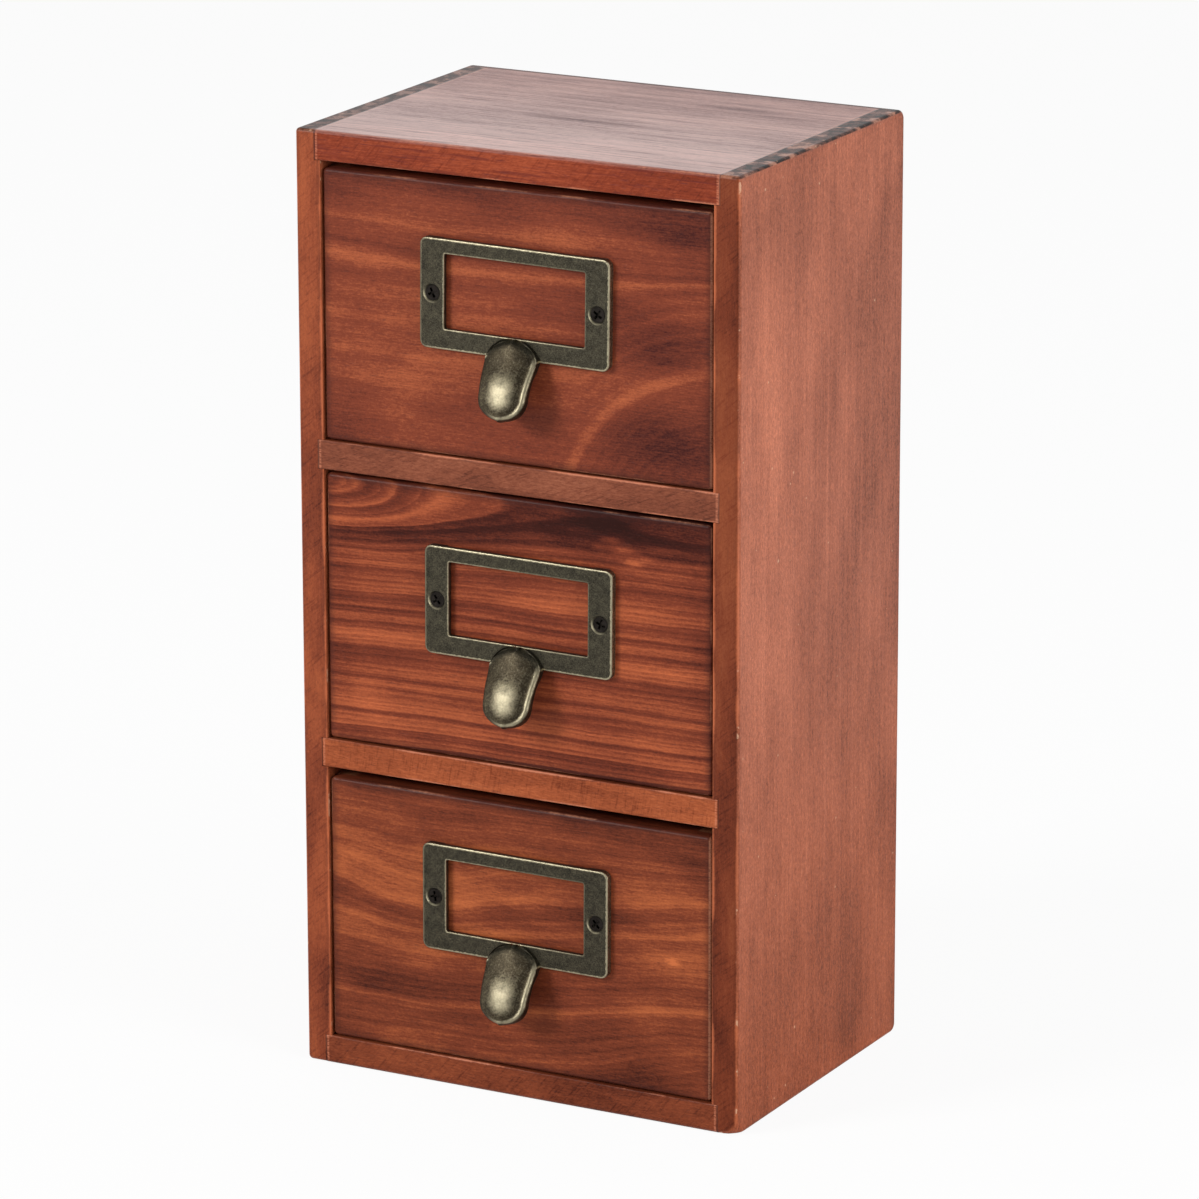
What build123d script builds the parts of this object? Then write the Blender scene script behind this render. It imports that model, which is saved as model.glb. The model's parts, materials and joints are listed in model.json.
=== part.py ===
from build123d import *
import os
from math import cos, radians, sin

# Seed storage cabinet: a small tabletop chest with three drawers, one above the other.
# Origin: centre of the carcass on the surface it stands on. +X to the right as seen from
# the front, +Y to the back, +Z up. The drawer fronts face -Y. Millimetres.

# Carcass
cabinet_width = 150.0
cabinet_depth = 110.0
side_thickness = 8.5
board_thickness = 9.2         # top, bottom and both shelves
housing_depth = 2.0           # how far the boards go into the sides
side_corner_radius = 1.6      # corners of the side panels, seen from the side
back_top_radius = 2.6         # the top edge at the back is rounded more
outer_edge_radius = 1.2       # round the outer face of each side
opening_edge_radius = 0.5     # the edges that frame the drawers

# Back panel and its pins
back_thickness = 4.0
back_lap = 4.0                # how far the back panel covers the sides, top and bottom
back_fit = 0.1                # clearance round the back panel in its rabbets
pin_diameter = 1.2
pin_fit = 0.05                # clearance round a pin, on the radius
back_pin_length = 12.0
back_pin_column = 40.0        # from the centre to the pins in the top and bottom boards

# Drawers, from the bottom up
drawer_names = ("bottom", "middle", "top")
gap_above = {"bottom": 3.1, "middle": 1.0, "top": 2.2}
front_height = 84.0
front_thickness = 9.2
front_recess = 0.5            # behind the front edges of the carcass
front_edge_radius = 1.0
front_side_gap = 0.6          # on each side
running_gap = 0.3             # under each drawer
stop_gap = 0.5                # behind each closed drawer

# Drawer boxes
box_inset = 0.4               # how far the box stands in from the ends of its front
box_side_thickness = 6.0
box_back_thickness = 6.0
box_back_drop = 5.0           # the back is lower than the sides
front_lip = 4.0               # what the sides leave of the front's ends
floor_thickness = 3.0
floor_rise = 4.0              # from the lower edge up to the floor
floor_groove_depth = 3.0
floor_fit = 0.1
box_pin_length = 14.0
box_pin_inset = 18.0          # from the lower and upper edges of the box to its pins
floor_pin_length = 11.0
floor_pin_column = 35.0

# Label pulls: a frame round a card window, with a finger tongue
window_width = 47.6
window_height = 23.0
window_corner_radius = 0.5
window_bevel = 0.35
side_bar = 8.3                # the frame's bars round the window
top_bar = 4.6
bottom_bar = 6.4
pull_thickness = 2.2
pull_corner_radius = 2.4
pull_bevel = 0.45
card_margin = 1.4             # the pocket for a card reaches this far past the window
card_depth = 0.7
screw_hole_radius = 1.3
countersink_radius = 2.9      # at the front of the frame, with sides at 45 degrees
# Where each pull sits on its front: right of the centre, below the top edge, and its tilt
pull_places = {
    "bottom": (-0.3, 15.6, 0.3),
    "middle": (1.4, 17.7, 0.4),
    "top": (0.7, 17.2, 0.7),
}

# Tongue: sections across it, each as far below the window's lower edge as its first value.
# Then the stand-off from the wood of its outer edge, outer crown, inner edge, inner crown.
# The second section is at the frame's lower edge.
tongue_root_width = 17.4
tongue_tip_width = 14.6
tongue_length = 23.0
tongue_root_arch = 6.0        # height of the arched upper end
tongue_sections = (
    (0.0, 1.6, 3.6, 0.9, 1.4),
    (bottom_bar, 4.2, 6.5, 1.0, 2.0),
    (12.0, 7.8, 10.0, 5.8, 8.1),
    (18.0, 10.2, 12.0, 8.4, 10.2),
    (25.0, 11.6, 13.0, 9.8, 11.2),
)

# Screws
screw_head_drop = 0.45        # how far the head lies below the front of the frame
screw_seat_gap = 0.1          # between the head's cone and the countersink, on the radius
screw_shank_radius = 1.1
screw_fit = 0.05
screw_reach = 6.0             # into the drawer front
recess_length = 3.2
recess_width = 0.75
recess_depth = 0.9
recess_turns = {"bottom": (10, 40), "middle": (35, 70), "top": (25, 55)}

# Places that follow from the sizes above
front_y = -cabinet_depth / 2
back_y = cabinet_depth / 2
back_inner_y = back_y - back_thickness
opening_width = cabinet_width - 2 * side_thickness
board_length = opening_width + 2 * housing_depth
opening_height = {name: running_gap + front_height + gap_above[name] for name in drawer_names}
shelf_lower_z = board_thickness + opening_height["bottom"]
shelf_upper_z = shelf_lower_z + board_thickness + opening_height["middle"]
top_z = shelf_upper_z + board_thickness + opening_height["top"]
cabinet_height = top_z + board_thickness
board_bottoms = (0, shelf_lower_z, shelf_upper_z, top_z)
drawer_bottoms = {
    "bottom": board_thickness + running_gap,
    "middle": shelf_lower_z + board_thickness + running_gap,
    "top": shelf_upper_z + board_thickness + running_gap,
}
drawer_middles = {name: z + front_height / 2 for name, z in drawer_bottoms.items()}

front_width = opening_width - 2 * front_side_gap
front_face_y = front_y + front_recess
front_inner_y = front_face_y + front_thickness
lap_y = front_face_y + front_lip
drawer_end_y = back_inner_y - stop_gap
box_outer_x = front_width / 2 - box_inset
box_inner_x = box_outer_x - box_side_thickness
groove_x = box_inner_x + floor_groove_depth
groove_y = front_inner_y - floor_groove_depth
pin_hole_radius = pin_diameter / 2 + pin_fit
pull_width = window_width + 2 * side_bar
pull_height = window_height + top_bar + bottom_bar
root_y = bottom_bar - pull_height / 2
window_centre = (0, root_y + window_height / 2)
screw_x = (window_width + side_bar) / 2
screw_points = ((-screw_x, 0), (screw_x, 0))
screw_head_radius = countersink_radius - screw_head_drop - screw_seat_gap
side_pin_x = opening_width / 2 + back_lap / 2
back_pin_z = (board_thickness - back_lap / 2, top_z + back_lap / 2)
back_pin_plane = Plane(origin=(0, back_y, 0), x_dir=(1, 0, 0), z_dir=(0, -1, 0))


def box_between(low, high, mode=Mode.ADD):
    """A block from one corner to the opposite one."""
    size = [b - a for a, b in zip(low, high)]
    centre = tuple((a + b) / 2 for a, b in zip(low, high))
    with Locations(centre):
        Box(*size, mode=mode)


def finish(piece, name):
    piece.part.label = name
    export_step(piece.part, f"parts/{name}.step")


# ---- carcass


def back_pin_points():
    """Centres of the back panel's pins on the back face, as (x, z)."""
    sides = [(side * side_pin_x, drawer_middles[name]) for side in (-1, 1) for name in drawer_names]
    boards = [(side * back_pin_column, z) for side in (-1, 1) for z in back_pin_z]
    return sides + boards


def cut_back_pin_holes(points):
    with BuildSketch(back_pin_plane) as holes:
        with Locations(*points):
            Circle(pin_hole_radius)
    extrude(holes.sketch, amount=back_pin_length, mode=Mode.SUBTRACT)


def side_panel(side):
    """A side panel: side is -1 for the left one and 1 for the right one."""
    outer_x = side * cabinet_width / 2
    inner_x = side * opening_width / 2
    with BuildPart() as panel:
        with BuildSketch(Plane.YZ.offset(min(outer_x, inner_x))) as profile:
            with Locations((0, cabinet_height / 2)):
                Rectangle(cabinet_depth, cabinet_height)
            back_top = profile.vertices().group_by(Axis.Y)[-1].sort_by(Axis.X)[-1]
            fillet(back_top, back_top_radius)
            corners = profile.vertices().filter_by(lambda v: v.Y < 1 or v.X < front_y + 1)
            fillet(corners, side_corner_radius)
        extrude(amount=side_thickness)
        outer_face = panel.faces().filter_by(Axis.X).sort_by(Axis.X)[-1 if side > 0 else 0]
        fillet(outer_face.edges(), outer_edge_radius)
        # housings and rabbets for the four boards
        for z in board_bottoms:
            box_between(
                (min(inner_x, inner_x + side * housing_depth), front_y, z),
                (max(inner_x, inner_x + side * housing_depth), back_y, z + board_thickness),
                mode=Mode.SUBTRACT,
            )
        # rabbet for the back panel
        lap_x = inner_x + side * back_lap
        box_between(
            (min(inner_x, lap_x), back_inner_y, board_thickness - back_lap),
            (max(inner_x, lap_x), back_y, top_z + back_lap),
            mode=Mode.SUBTRACT,
        )
        opening_edges = panel.edges().filter_by(Axis.Z).filter_by(
            lambda e: abs(e.center().X - inner_x) < 0.01 and e.center().Y < front_y + 0.01
        )
        fillet(opening_edges, opening_edge_radius)
        cut_back_pin_holes([p for p in back_pin_points() if p[0] * side > opening_width / 2])
    return panel


def carcass_board(z, is_top=False, is_bottom=False):
    """The top, the bottom or a shelf, with its lower face at z."""
    outer = is_top or is_bottom
    end_y = back_y if outer else back_inner_y
    with BuildPart() as board:
        box_between(
            (-board_length / 2, front_y, z), (board_length / 2, end_y, z + board_thickness)
        )
        if outer:
            # rabbet for the back panel
            low = z if is_top else z + board_thickness - back_lap
            box_between(
                (-board_length / 2, back_inner_y, low),
                (board_length / 2, back_y, low + back_lap),
                mode=Mode.SUBTRACT,
            )
            far_edges = board.edges().filter_by(Axis.X).group_by(Axis.Z)[-1 if is_top else 0]
            fillet(far_edges.sort_by(Axis.Y)[0], side_corner_radius)
            back_edges = board.edges().filter_by(Axis.X).group_by(Axis.Z)[-1 if is_top else 0]
            radius = back_top_radius if is_top else side_corner_radius
            fillet(back_edges.sort_by(Axis.Y)[-1], radius)
            cut_back_pin_holes([p for p in back_pin_points() if z < p[1] < z + board_thickness])
        edges = board.edges().filter_by(Axis.X).group_by(Axis.Y)[0]
        if not is_bottom:
            fillet(edges.sort_by(Axis.Z)[0], opening_edge_radius)
        if not is_top:
            edges = board.edges().filter_by(Axis.X).group_by(Axis.Y)[0]
            fillet(edges.sort_by(Axis.Z)[-1], opening_edge_radius)
    return board


def back_board():
    half_width = opening_width / 2 + back_lap - back_fit
    with BuildPart() as board:
        box_between(
            (-half_width, back_inner_y, board_thickness - back_lap + back_fit),
            (half_width, back_y, top_z + back_lap - back_fit),
        )
        cut_back_pin_holes(back_pin_points())
    return board


def back_board_pins():
    with BuildPart() as pins:
        with BuildSketch(back_pin_plane):
            with Locations(*back_pin_points()):
                Circle(pin_diameter / 2)
        extrude(amount=back_pin_length)
    return pins


# ---- drawer boxes


def box_pin_points(z0):
    """Centres of the pins in one box side, as (y, z): into the front and into the back."""
    into_front = (lap_y + front_inner_y) / 2
    into_back = drawer_end_y - box_back_thickness / 2
    heights = (z0 + box_pin_inset, z0 + front_height - box_pin_inset)
    return [(y, z) for y in (into_front, into_back) for z in heights]


def add_box_pins(z0, radius, mode=Mode.ADD):
    """The pins through the sides, or the holes for them."""
    for side in (-1, 1):
        plane = Plane(origin=(side * box_outer_x, 0, 0), x_dir=(0, 1, 0), z_dir=(1, 0, 0))
        with BuildSketch(plane) as circles:
            with Locations(*box_pin_points(z0)):
                Circle(radius)
        extrude(circles.sketch, amount=-side * box_pin_length, mode=mode)


def add_floor_pins(z0, radius, mode=Mode.ADD):
    """The pins up through the floor into the back, or the holes for them."""
    y = drawer_end_y - box_back_thickness / 2
    with BuildSketch(Plane.XY.offset(z0 + floor_rise)) as circles:
        with Locations((-floor_pin_column, y), (floor_pin_column, y)):
            Circle(radius)
    extrude(circles.sketch, amount=floor_pin_length, mode=mode)


def drawer_front(name):
    z0 = drawer_bottoms[name]
    with BuildPart() as front:
        box_between(
            (-front_width / 2, front_face_y, z0),
            (front_width / 2, front_inner_y, z0 + front_height),
        )
        fillet(front.faces().sort_by(Axis.Y)[0].edges(), front_edge_radius)
        # laps for the box sides
        for side in (-1, 1):
            ends = sorted((side * box_inner_x, side * front_width / 2))
            box_between(
                (ends[0], lap_y, z0), (ends[1], front_inner_y, z0 + front_height), mode=Mode.SUBTRACT
            )
        # groove for the floor
        box_between(
            (-box_inner_x, groove_y, z0 + floor_rise),
            (box_inner_x, front_inner_y, z0 + floor_rise + floor_thickness + floor_fit),
            mode=Mode.SUBTRACT,
        )
        add_box_pins(z0, pin_hole_radius, mode=Mode.SUBTRACT)
        # holes for the pull's screws, from the front
        with BuildSketch(pull_face(name)):
            with Locations(*screw_points):
                Circle(screw_shank_radius + screw_fit)
        extrude(amount=-screw_reach - screw_fit, mode=Mode.SUBTRACT)
    return front


def box_side(name, side):
    z0 = drawer_bottoms[name]
    outer_x = side * box_outer_x
    inner_x = side * box_inner_x
    with BuildPart() as board:
        box_between(
            (min(outer_x, inner_x), lap_y, z0),
            (max(outer_x, inner_x), drawer_end_y, z0 + front_height),
        )
        groove = sorted((inner_x, side * groove_x))
        box_between(
            (groove[0], lap_y, z0 + floor_rise),
            (groove[1], drawer_end_y, z0 + floor_rise + floor_thickness + floor_fit),
            mode=Mode.SUBTRACT,
        )
        add_box_pins(z0, pin_hole_radius, mode=Mode.SUBTRACT)
    return board


def box_back(name):
    z0 = drawer_bottoms[name]
    with BuildPart() as board:
        box_between(
            (-box_inner_x, drawer_end_y - box_back_thickness, z0 + floor_rise + floor_thickness),
            (box_inner_x, drawer_end_y, z0 + front_height - box_back_drop),
        )
        add_box_pins(z0, pin_hole_radius, mode=Mode.SUBTRACT)
        add_floor_pins(z0, pin_hole_radius, mode=Mode.SUBTRACT)
    return board


def box_floor(name):
    z0 = drawer_bottoms[name]
    with BuildPart() as board:
        box_between(
            (-groove_x + floor_fit, groove_y + floor_fit, z0 + floor_rise),
            (groove_x - floor_fit, drawer_end_y, z0 + floor_rise + floor_thickness),
        )
        add_floor_pins(z0, pin_hole_radius, mode=Mode.SUBTRACT)
    return board


def box_pins(name):
    z0 = drawer_bottoms[name]
    with BuildPart() as pins:
        add_box_pins(z0, pin_diameter / 2)
        add_floor_pins(z0, pin_diameter / 2)
    return pins


# ---- label pulls


def pull_face(name):
    """The plane of the wood behind a pull: origin at the frame's centre, z towards the viewer."""
    right, below_top, tilt = pull_places[name]
    turn = radians(-tilt)
    centre_z = drawer_bottoms[name] + front_height - below_top - pull_height / 2
    return Plane(
        origin=(right, front_face_y, centre_z), x_dir=(cos(turn), 0, sin(turn)), z_dir=(0, -1, 0)
    )


def tongue_outline():
    """The tongue from the front: an arched root, sides that draw in, and a full round end."""
    half = tongue_root_width / 2
    shoulder_y = root_y - tongue_root_arch
    radius = tongue_tip_width / 2
    end_y = root_y - tongue_length
    with BuildLine() as outline:
        left = Line((-half, shoulder_y), (-radius, end_y + radius))
        end = ThreePointArc(left @ 1, (0, end_y), (radius, end_y + radius))
        right = Line(end @ 1, (half, shoulder_y))
        ThreePointArc(right @ 1, (0, root_y), left @ 0)
    make_face(outline.edges())


def tongue_section(edge, crown, inner_edge, inner_crown):
    """A crescent across the tongue, over its full root width."""
    half = tongue_root_width / 2
    with BuildLine() as crescent:
        outer = ThreePointArc((-half, edge), (0, crown), (half, edge))
        side = Line(outer @ 1, (half, inner_edge))
        inner = ThreePointArc(side @ 1, (0, inner_crown), (-half, inner_edge))
        Line(inner @ 1, outer @ 0)
    make_face(crescent.edges())


def label_pull(name):
    face = pull_face(name)
    with BuildPart() as pull:
        # tongue
        for below, edge, crown, inner_edge, inner_crown in tongue_sections:
            origin = face.origin + face.y_dir * (root_y - below)
            with BuildSketch(Plane(origin=origin, x_dir=face.x_dir, z_dir=-face.y_dir)):
                tongue_section(edge, crown, inner_edge, inner_crown)
        loft()
        with BuildSketch(face):
            tongue_outline()
        extrude(amount=tongue_length, mode=Mode.INTERSECT)
        # frame, with its bevelled front edge
        bevel_start = pull_thickness - pull_bevel
        with BuildSketch(face):
            RectangleRounded(pull_width, pull_height, pull_corner_radius)
        extrude(amount=bevel_start)
        with BuildSketch(face.offset(bevel_start)):
            RectangleRounded(pull_width, pull_height, pull_corner_radius)
        with BuildSketch(face.offset(pull_thickness)):
            RectangleRounded(
                pull_width - 2 * pull_bevel, pull_height - 2 * pull_bevel,
                pull_corner_radius - pull_bevel,
            )
        loft()
        # window, with its bevelled front edge
        with BuildSketch(face):
            with Locations(window_centre):
                RectangleRounded(window_width, window_height, window_corner_radius)
        extrude(amount=pull_thickness, mode=Mode.SUBTRACT)
        for stand_off, flare in ((pull_thickness - window_bevel, 0), (pull_thickness, window_bevel)):
            with BuildSketch(face.offset(stand_off)):
                with Locations(window_centre):
                    RectangleRounded(
                        window_width + 2 * flare, window_height + 2 * flare,
                        window_corner_radius + flare,
                    )
        loft(mode=Mode.SUBTRACT)
        # countersunk screw holes
        with BuildSketch(face):
            with Locations(*screw_points):
                Circle(screw_hole_radius)
        extrude(amount=pull_thickness, mode=Mode.SUBTRACT)
        with BuildSketch(face.offset(pull_thickness)):
            with Locations(*screw_points):
                Circle(countersink_radius)
        extrude(amount=screw_hole_radius - countersink_radius, taper=45, mode=Mode.SUBTRACT)
        # pocket for the card, open at the top
        pocket_low = root_y - card_margin
        with BuildSketch(face):
            with Locations((0, (pocket_low + pull_height / 2) / 2)):
                Rectangle(window_width + 2 * card_margin, pull_height / 2 - pocket_low)
        extrude(amount=card_depth, mode=Mode.SUBTRACT)
    return pull


def pull_screws(name):
    face = pull_face(name)
    head = face.offset(pull_thickness - screw_head_drop)
    cone_height = screw_head_radius - screw_shank_radius
    with BuildPart() as screws:
        with BuildSketch(head):
            with Locations(*screw_points):
                Circle(screw_head_radius)
        extrude(amount=-cone_height, taper=45)
        with BuildSketch(head.offset(-cone_height)):
            with Locations(*screw_points):
                Circle(screw_shank_radius)
        extrude(amount=-(pull_thickness - screw_head_drop - cone_height) - screw_reach)
        with BuildSketch(head):
            for (x, y), turn in zip(screw_points, recess_turns[name]):
                with Locations(Location((x, y), turn)):
                    Rectangle(recess_length, recess_width)
                    Rectangle(recess_width, recess_length)
        extrude(amount=-recess_depth, mode=Mode.SUBTRACT)
    return screws


# ---- build and write every piece

os.makedirs("parts", exist_ok=True)

finish(side_panel(-1), "side_panel_left")
finish(side_panel(1), "side_panel_right")
finish(carcass_board(top_z, is_top=True), "top_panel")
finish(carcass_board(0, is_bottom=True), "bottom_panel")
finish(carcass_board(shelf_upper_z), "shelf_upper")
finish(carcass_board(shelf_lower_z), "shelf_lower")
finish(back_board(), "back_panel")
finish(back_board_pins(), "back_panel_pins")
for drawer in drawer_names:
    finish(drawer_front(drawer), f"drawer_{drawer}_front")
    finish(box_side(drawer, -1), f"drawer_{drawer}_side_left")
    finish(box_side(drawer, 1), f"drawer_{drawer}_side_right")
    finish(box_back(drawer), f"drawer_{drawer}_back")
    finish(box_floor(drawer), f"drawer_{drawer}_floor")
    finish(box_pins(drawer), f"drawer_{drawer}_pins")
    finish(label_pull(drawer), f"drawer_{drawer}_label_pull")
    finish(pull_screws(drawer), f"drawer_{drawer}_pull_screws")
print("cabinet height", cabinet_height)
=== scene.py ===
import json
from functools import partialmethod
from math import cos, exp, pi, radians, sin
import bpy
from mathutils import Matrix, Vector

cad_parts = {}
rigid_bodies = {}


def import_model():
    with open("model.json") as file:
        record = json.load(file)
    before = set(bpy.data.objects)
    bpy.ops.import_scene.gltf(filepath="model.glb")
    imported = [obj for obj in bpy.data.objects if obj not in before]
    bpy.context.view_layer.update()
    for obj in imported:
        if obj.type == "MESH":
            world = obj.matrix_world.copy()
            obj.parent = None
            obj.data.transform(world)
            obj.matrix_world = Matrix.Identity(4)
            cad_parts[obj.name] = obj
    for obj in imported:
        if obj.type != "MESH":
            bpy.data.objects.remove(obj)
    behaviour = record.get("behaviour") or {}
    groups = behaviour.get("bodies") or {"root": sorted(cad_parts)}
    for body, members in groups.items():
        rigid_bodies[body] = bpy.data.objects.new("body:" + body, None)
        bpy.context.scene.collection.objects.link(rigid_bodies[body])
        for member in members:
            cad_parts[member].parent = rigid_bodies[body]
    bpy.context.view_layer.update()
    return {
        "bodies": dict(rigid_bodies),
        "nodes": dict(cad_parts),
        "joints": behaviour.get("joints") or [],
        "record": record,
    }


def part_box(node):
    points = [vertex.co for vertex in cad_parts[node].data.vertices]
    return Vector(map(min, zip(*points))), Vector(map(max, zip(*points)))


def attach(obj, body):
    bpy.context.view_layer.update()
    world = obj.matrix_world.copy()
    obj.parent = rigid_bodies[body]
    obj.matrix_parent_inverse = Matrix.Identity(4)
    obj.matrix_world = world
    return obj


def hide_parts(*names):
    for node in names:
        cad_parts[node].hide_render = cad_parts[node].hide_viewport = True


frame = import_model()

from types import SimpleNamespace

import bmesh
import bpy
from mathutils import Matrix, Vector

# Three-drawer seed cabinet in stained, lacquered softwood with cast label pulls.
# The scene is in metres; the drawers face -Y and the cabinet stands on z = 0.

nodes = frame["nodes"]
mm = 0.001
near = 0.02  # in mm: what counts as the same place
cabinetWide, cabinetHigh, frontFace = 150.0, 296.0, -54.5
drawers = ("top", "middle", "bottom")
print("frame loaded:", len(nodes), "CAD nodes")


# Camera, light and floor

photoCamera = dict(
    imageSide=1199, focalPixels=6842.56, sensor=36.0, azimuth=28.197, elevation=15.873, roll=-0.1175,
    aimAt=(0.0, 0.0, 0.148), distance=2.104714,
    aimRight=0.000946,  # how far right of and above the picture's centre the aim point lies
    aimUp=0.002905,
    clipEnd=50,
)
studio = dict(
    ambient=0.42,  # what the room gives to matt surfaces
    frontGloss=0.3,  # what glossy surfaces see in front of the cabinet
    glossTurn=(-0.25, 0.35),  # the y of a direction where that starts and ends to rise to 1
    keyFrom=(-1.45, -2.0, 1.25), keySize=0.9, keyPower=50, fillFrom=(2.3, -0.5, 1.0), fillSize=1.2,
    fillPower=36, floorSize=8.0, floorTone=0.9,
    floorWhite=0.92,  # how far the camera sees the floor as white paper; the rest is light and shadow
)


def setCamera(values):
    azimuth, elevation, roll = (radians(values[k]) for k in ("azimuth", "elevation", "roll"))
    back = Vector((sin(azimuth) * cos(elevation), -cos(azimuth) * cos(elevation), sin(elevation)))
    level = Vector((cos(azimuth), sin(azimuth), 0))
    upright = back.cross(level)
    right = cos(roll) * level + sin(roll) * upright
    up = cos(roll) * upright - sin(roll) * level
    place = Vector(values["aimAt"]) + back * values["distance"]
    place -= right * values["aimRight"] + up * values["aimUp"]
    bpy.ops.object.camera_add(location=place)
    camera = bpy.context.object
    camera.name = "photoCamera"
    camera.rotation_euler = Matrix((right, up, back)).transposed().to_euler()
    camera.data.sensor_width = values["sensor"]
    camera.data.lens = values["focalPixels"] * values["sensor"] / values["imageSide"]
    camera.data.clip_end = values["clipEnd"]
    bpy.context.scene.camera = camera


def addLamp(name, values):
    place = values[name + "From"]
    bpy.ops.object.light_add(type="AREA", location=place)
    lamp = bpy.context.object
    lamp.name = name + "Lamp"
    lamp.data.size = values[name + "Size"]
    lamp.data.energy = values[name + "Power"]
    aim = Vector(photoCamera["aimAt"]) - Vector(place)
    lamp.rotation_euler = aim.to_track_quat("-Z", "Y").to_euler()


# Lays nodes in one tree and joins them; a value is a socket or a plain number.
class Wiring:

    columns, stepAcross, stepDown = 12, 220, 260  # how the nodes lie in the editor

    def __init__(self, tree):
        self.tree = tree
        self.count = 0

    def put(self, socket, value):
        if isinstance(value, bpy.types.NodeSocket):
            self.tree.links.new(value, socket)
        elif hasattr(value, "__len__") and len(value) == 3 and len(socket.default_value) == 4:
            socket.default_value = (*value, 1)
        else:
            socket.default_value = value

    def feed(self, sockets, values):
        for key, value in values.items():
            self.put(sockets[key], value)

    def node(self, kind, inputs=None, **settings):
        made = self.tree.nodes.new(kind if kind.startswith("Node") else "ShaderNode" + kind)
        row, column = divmod(self.count, self.columns)
        made.location = (self.stepAcross * column, -self.stepDown * row)
        self.count += 1
        for key, value in settings.items():
            setattr(made, key, value)
        self.feed(made.inputs, inputs or {})
        return made

    def math(self, operation, *values, clamp=False):
        return self.node("Math", dict(enumerate(values)), operation=operation, use_clamp=clamp).outputs[0]

    plus = partialmethod(math, "ADD")
    minus = partialmethod(math, "SUBTRACT")
    times = partialmethod(math, "MULTIPLY")
    timesPlus = partialmethod(math, "MULTIPLY_ADD")
    most = partialmethod(math, "MAXIMUM")
    least = partialmethod(math, "MINIMUM")
    size = partialmethod(math, "ABSOLUTE")

    # moves a value by how far the source is above or below its middle
    def sway(self, value, source, amount, middle=0.5, clamp=False):
        return self.timesPlus(self.minus(source, middle), amount, value, clamp=clamp)

    # the distance of the place a, b from 0, 0
    def far(self, a, b):
        return self.math("SQRT", self.timesPlus(a, a, self.times(b, b)))

    def vector(self, operation, *values):
        return self.node("VectorMath", dict(enumerate(values)), operation=operation).outputs[0]

    def scaled(self, vector, factor):
        return self.node("VectorMath", {0: vector, "Scale": factor}, operation="SCALE").outputs[0]

    def moved(self, vector, **changes):
        changes = {key.title(): value for key, value in changes.items()}
        return self.node("Mapping", {"Vector": vector, **changes}).outputs[0]

    def split(self, vector):
        return self.node("SeparateXYZ", {0: vector}).outputs

    def here(self):
        return self.node("TexCoord").outputs["Object"]

    def noise(self, place, scale=1.0, detail=2.0, roughness=0.5, stretch=None, seed=0.0):
        if stretch or seed:
            place = self.moved(place, location=(seed, seed * 0.7, -seed), scale=stretch or (1, 1, 1))
        cloud = {"Vector": place, "Scale": scale, "Detail": detail, "Roughness": roughness}
        return self.node("TexNoise", cloud).outputs["Fac"]

    def noiseLine(self, place, scale=1.0, detail=2.0, roughness=0.5):
        cloud = {"W": place, "Scale": scale, "Detail": detail, "Roughness": roughness}
        return self.node("TexNoise", cloud, noise_dimensions="1D").outputs["Fac"]

    def span(self, value, fromLow, fromHigh, low=0.0, high=1.0, smooth=True):
        ends = dict(enumerate((value, fromLow, fromHigh, low, high)))
        return self.node("MapRange", ends, interpolation_type="SMOOTHSTEP" if smooth else "LINEAR").outputs[0]

    # from 1 down to 0
    def fall(self, value, fromLow, fromHigh):
        return self.span(value, fromLow, fromHigh, 1.0, 0.0)

    # a line where the value is close to the place, full up to one distance from it and gone at the next
    def stripe(self, value, at, full, gone, strength=1.0, waver=None):
        away = self.size(self.minus(value, at))
        return self.span(self.plus(away, waver) if waver else away, full, gone, strength, 0.0)

    def mix(self, factor, low, high):
        return self.node("Mix", {0: factor, 6: low, 7: high}, data_type="RGBA").outputs[2]

    def ramp(self, value, stops, ease="LINEAR"):
        made = self.node("ValToRGB", {0: value})
        band = made.color_ramp
        band.interpolation = ease
        while len(band.elements) < len(stops):
            band.elements.new(0.5)
        for element, (place, colour) in zip(band.elements, stops):
            element.position = place
            element.color = (*colour, 1) if hasattr(colour, "__len__") else (colour, colour, colour, 1)
        return made.outputs[0]

    # a value read from a table of (place, tone)
    def read(self, value, table, ease="LINEAR"):
        first, last = table[0][0], table[-1][0]
        stops = [((at - first) / (last - first), tone) for at, tone in table]
        return self.ramp(self.span(value, first, last, smooth=False), stops, ease)

    def use(self, group, **inputs):
        labels = {"".join(" " + c if c.isupper() else c for c in key).title(): v for key, v in inputs.items()}
        return self.node("Group", labels, node_tree=group).outputs

    def bump(self, height, distance, strength):
        return self.node("Bump", {"Height": height, "Distance": distance, "Strength": strength}).outputs[0]


# A colour as a screen shows it, 0 to 255, in Blender's linear values.
def toned(r, g, b):
    return tuple(((c / 255 + 0.055) / 1.055) ** 2.4 if c > 10 else c / 255 / 12.92 for c in (r, g, b))


def emptyTree(owner):
    owner.use_nodes = True
    owner.node_tree.nodes.clear()
    return Wiring(owner.node_tree)


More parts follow.
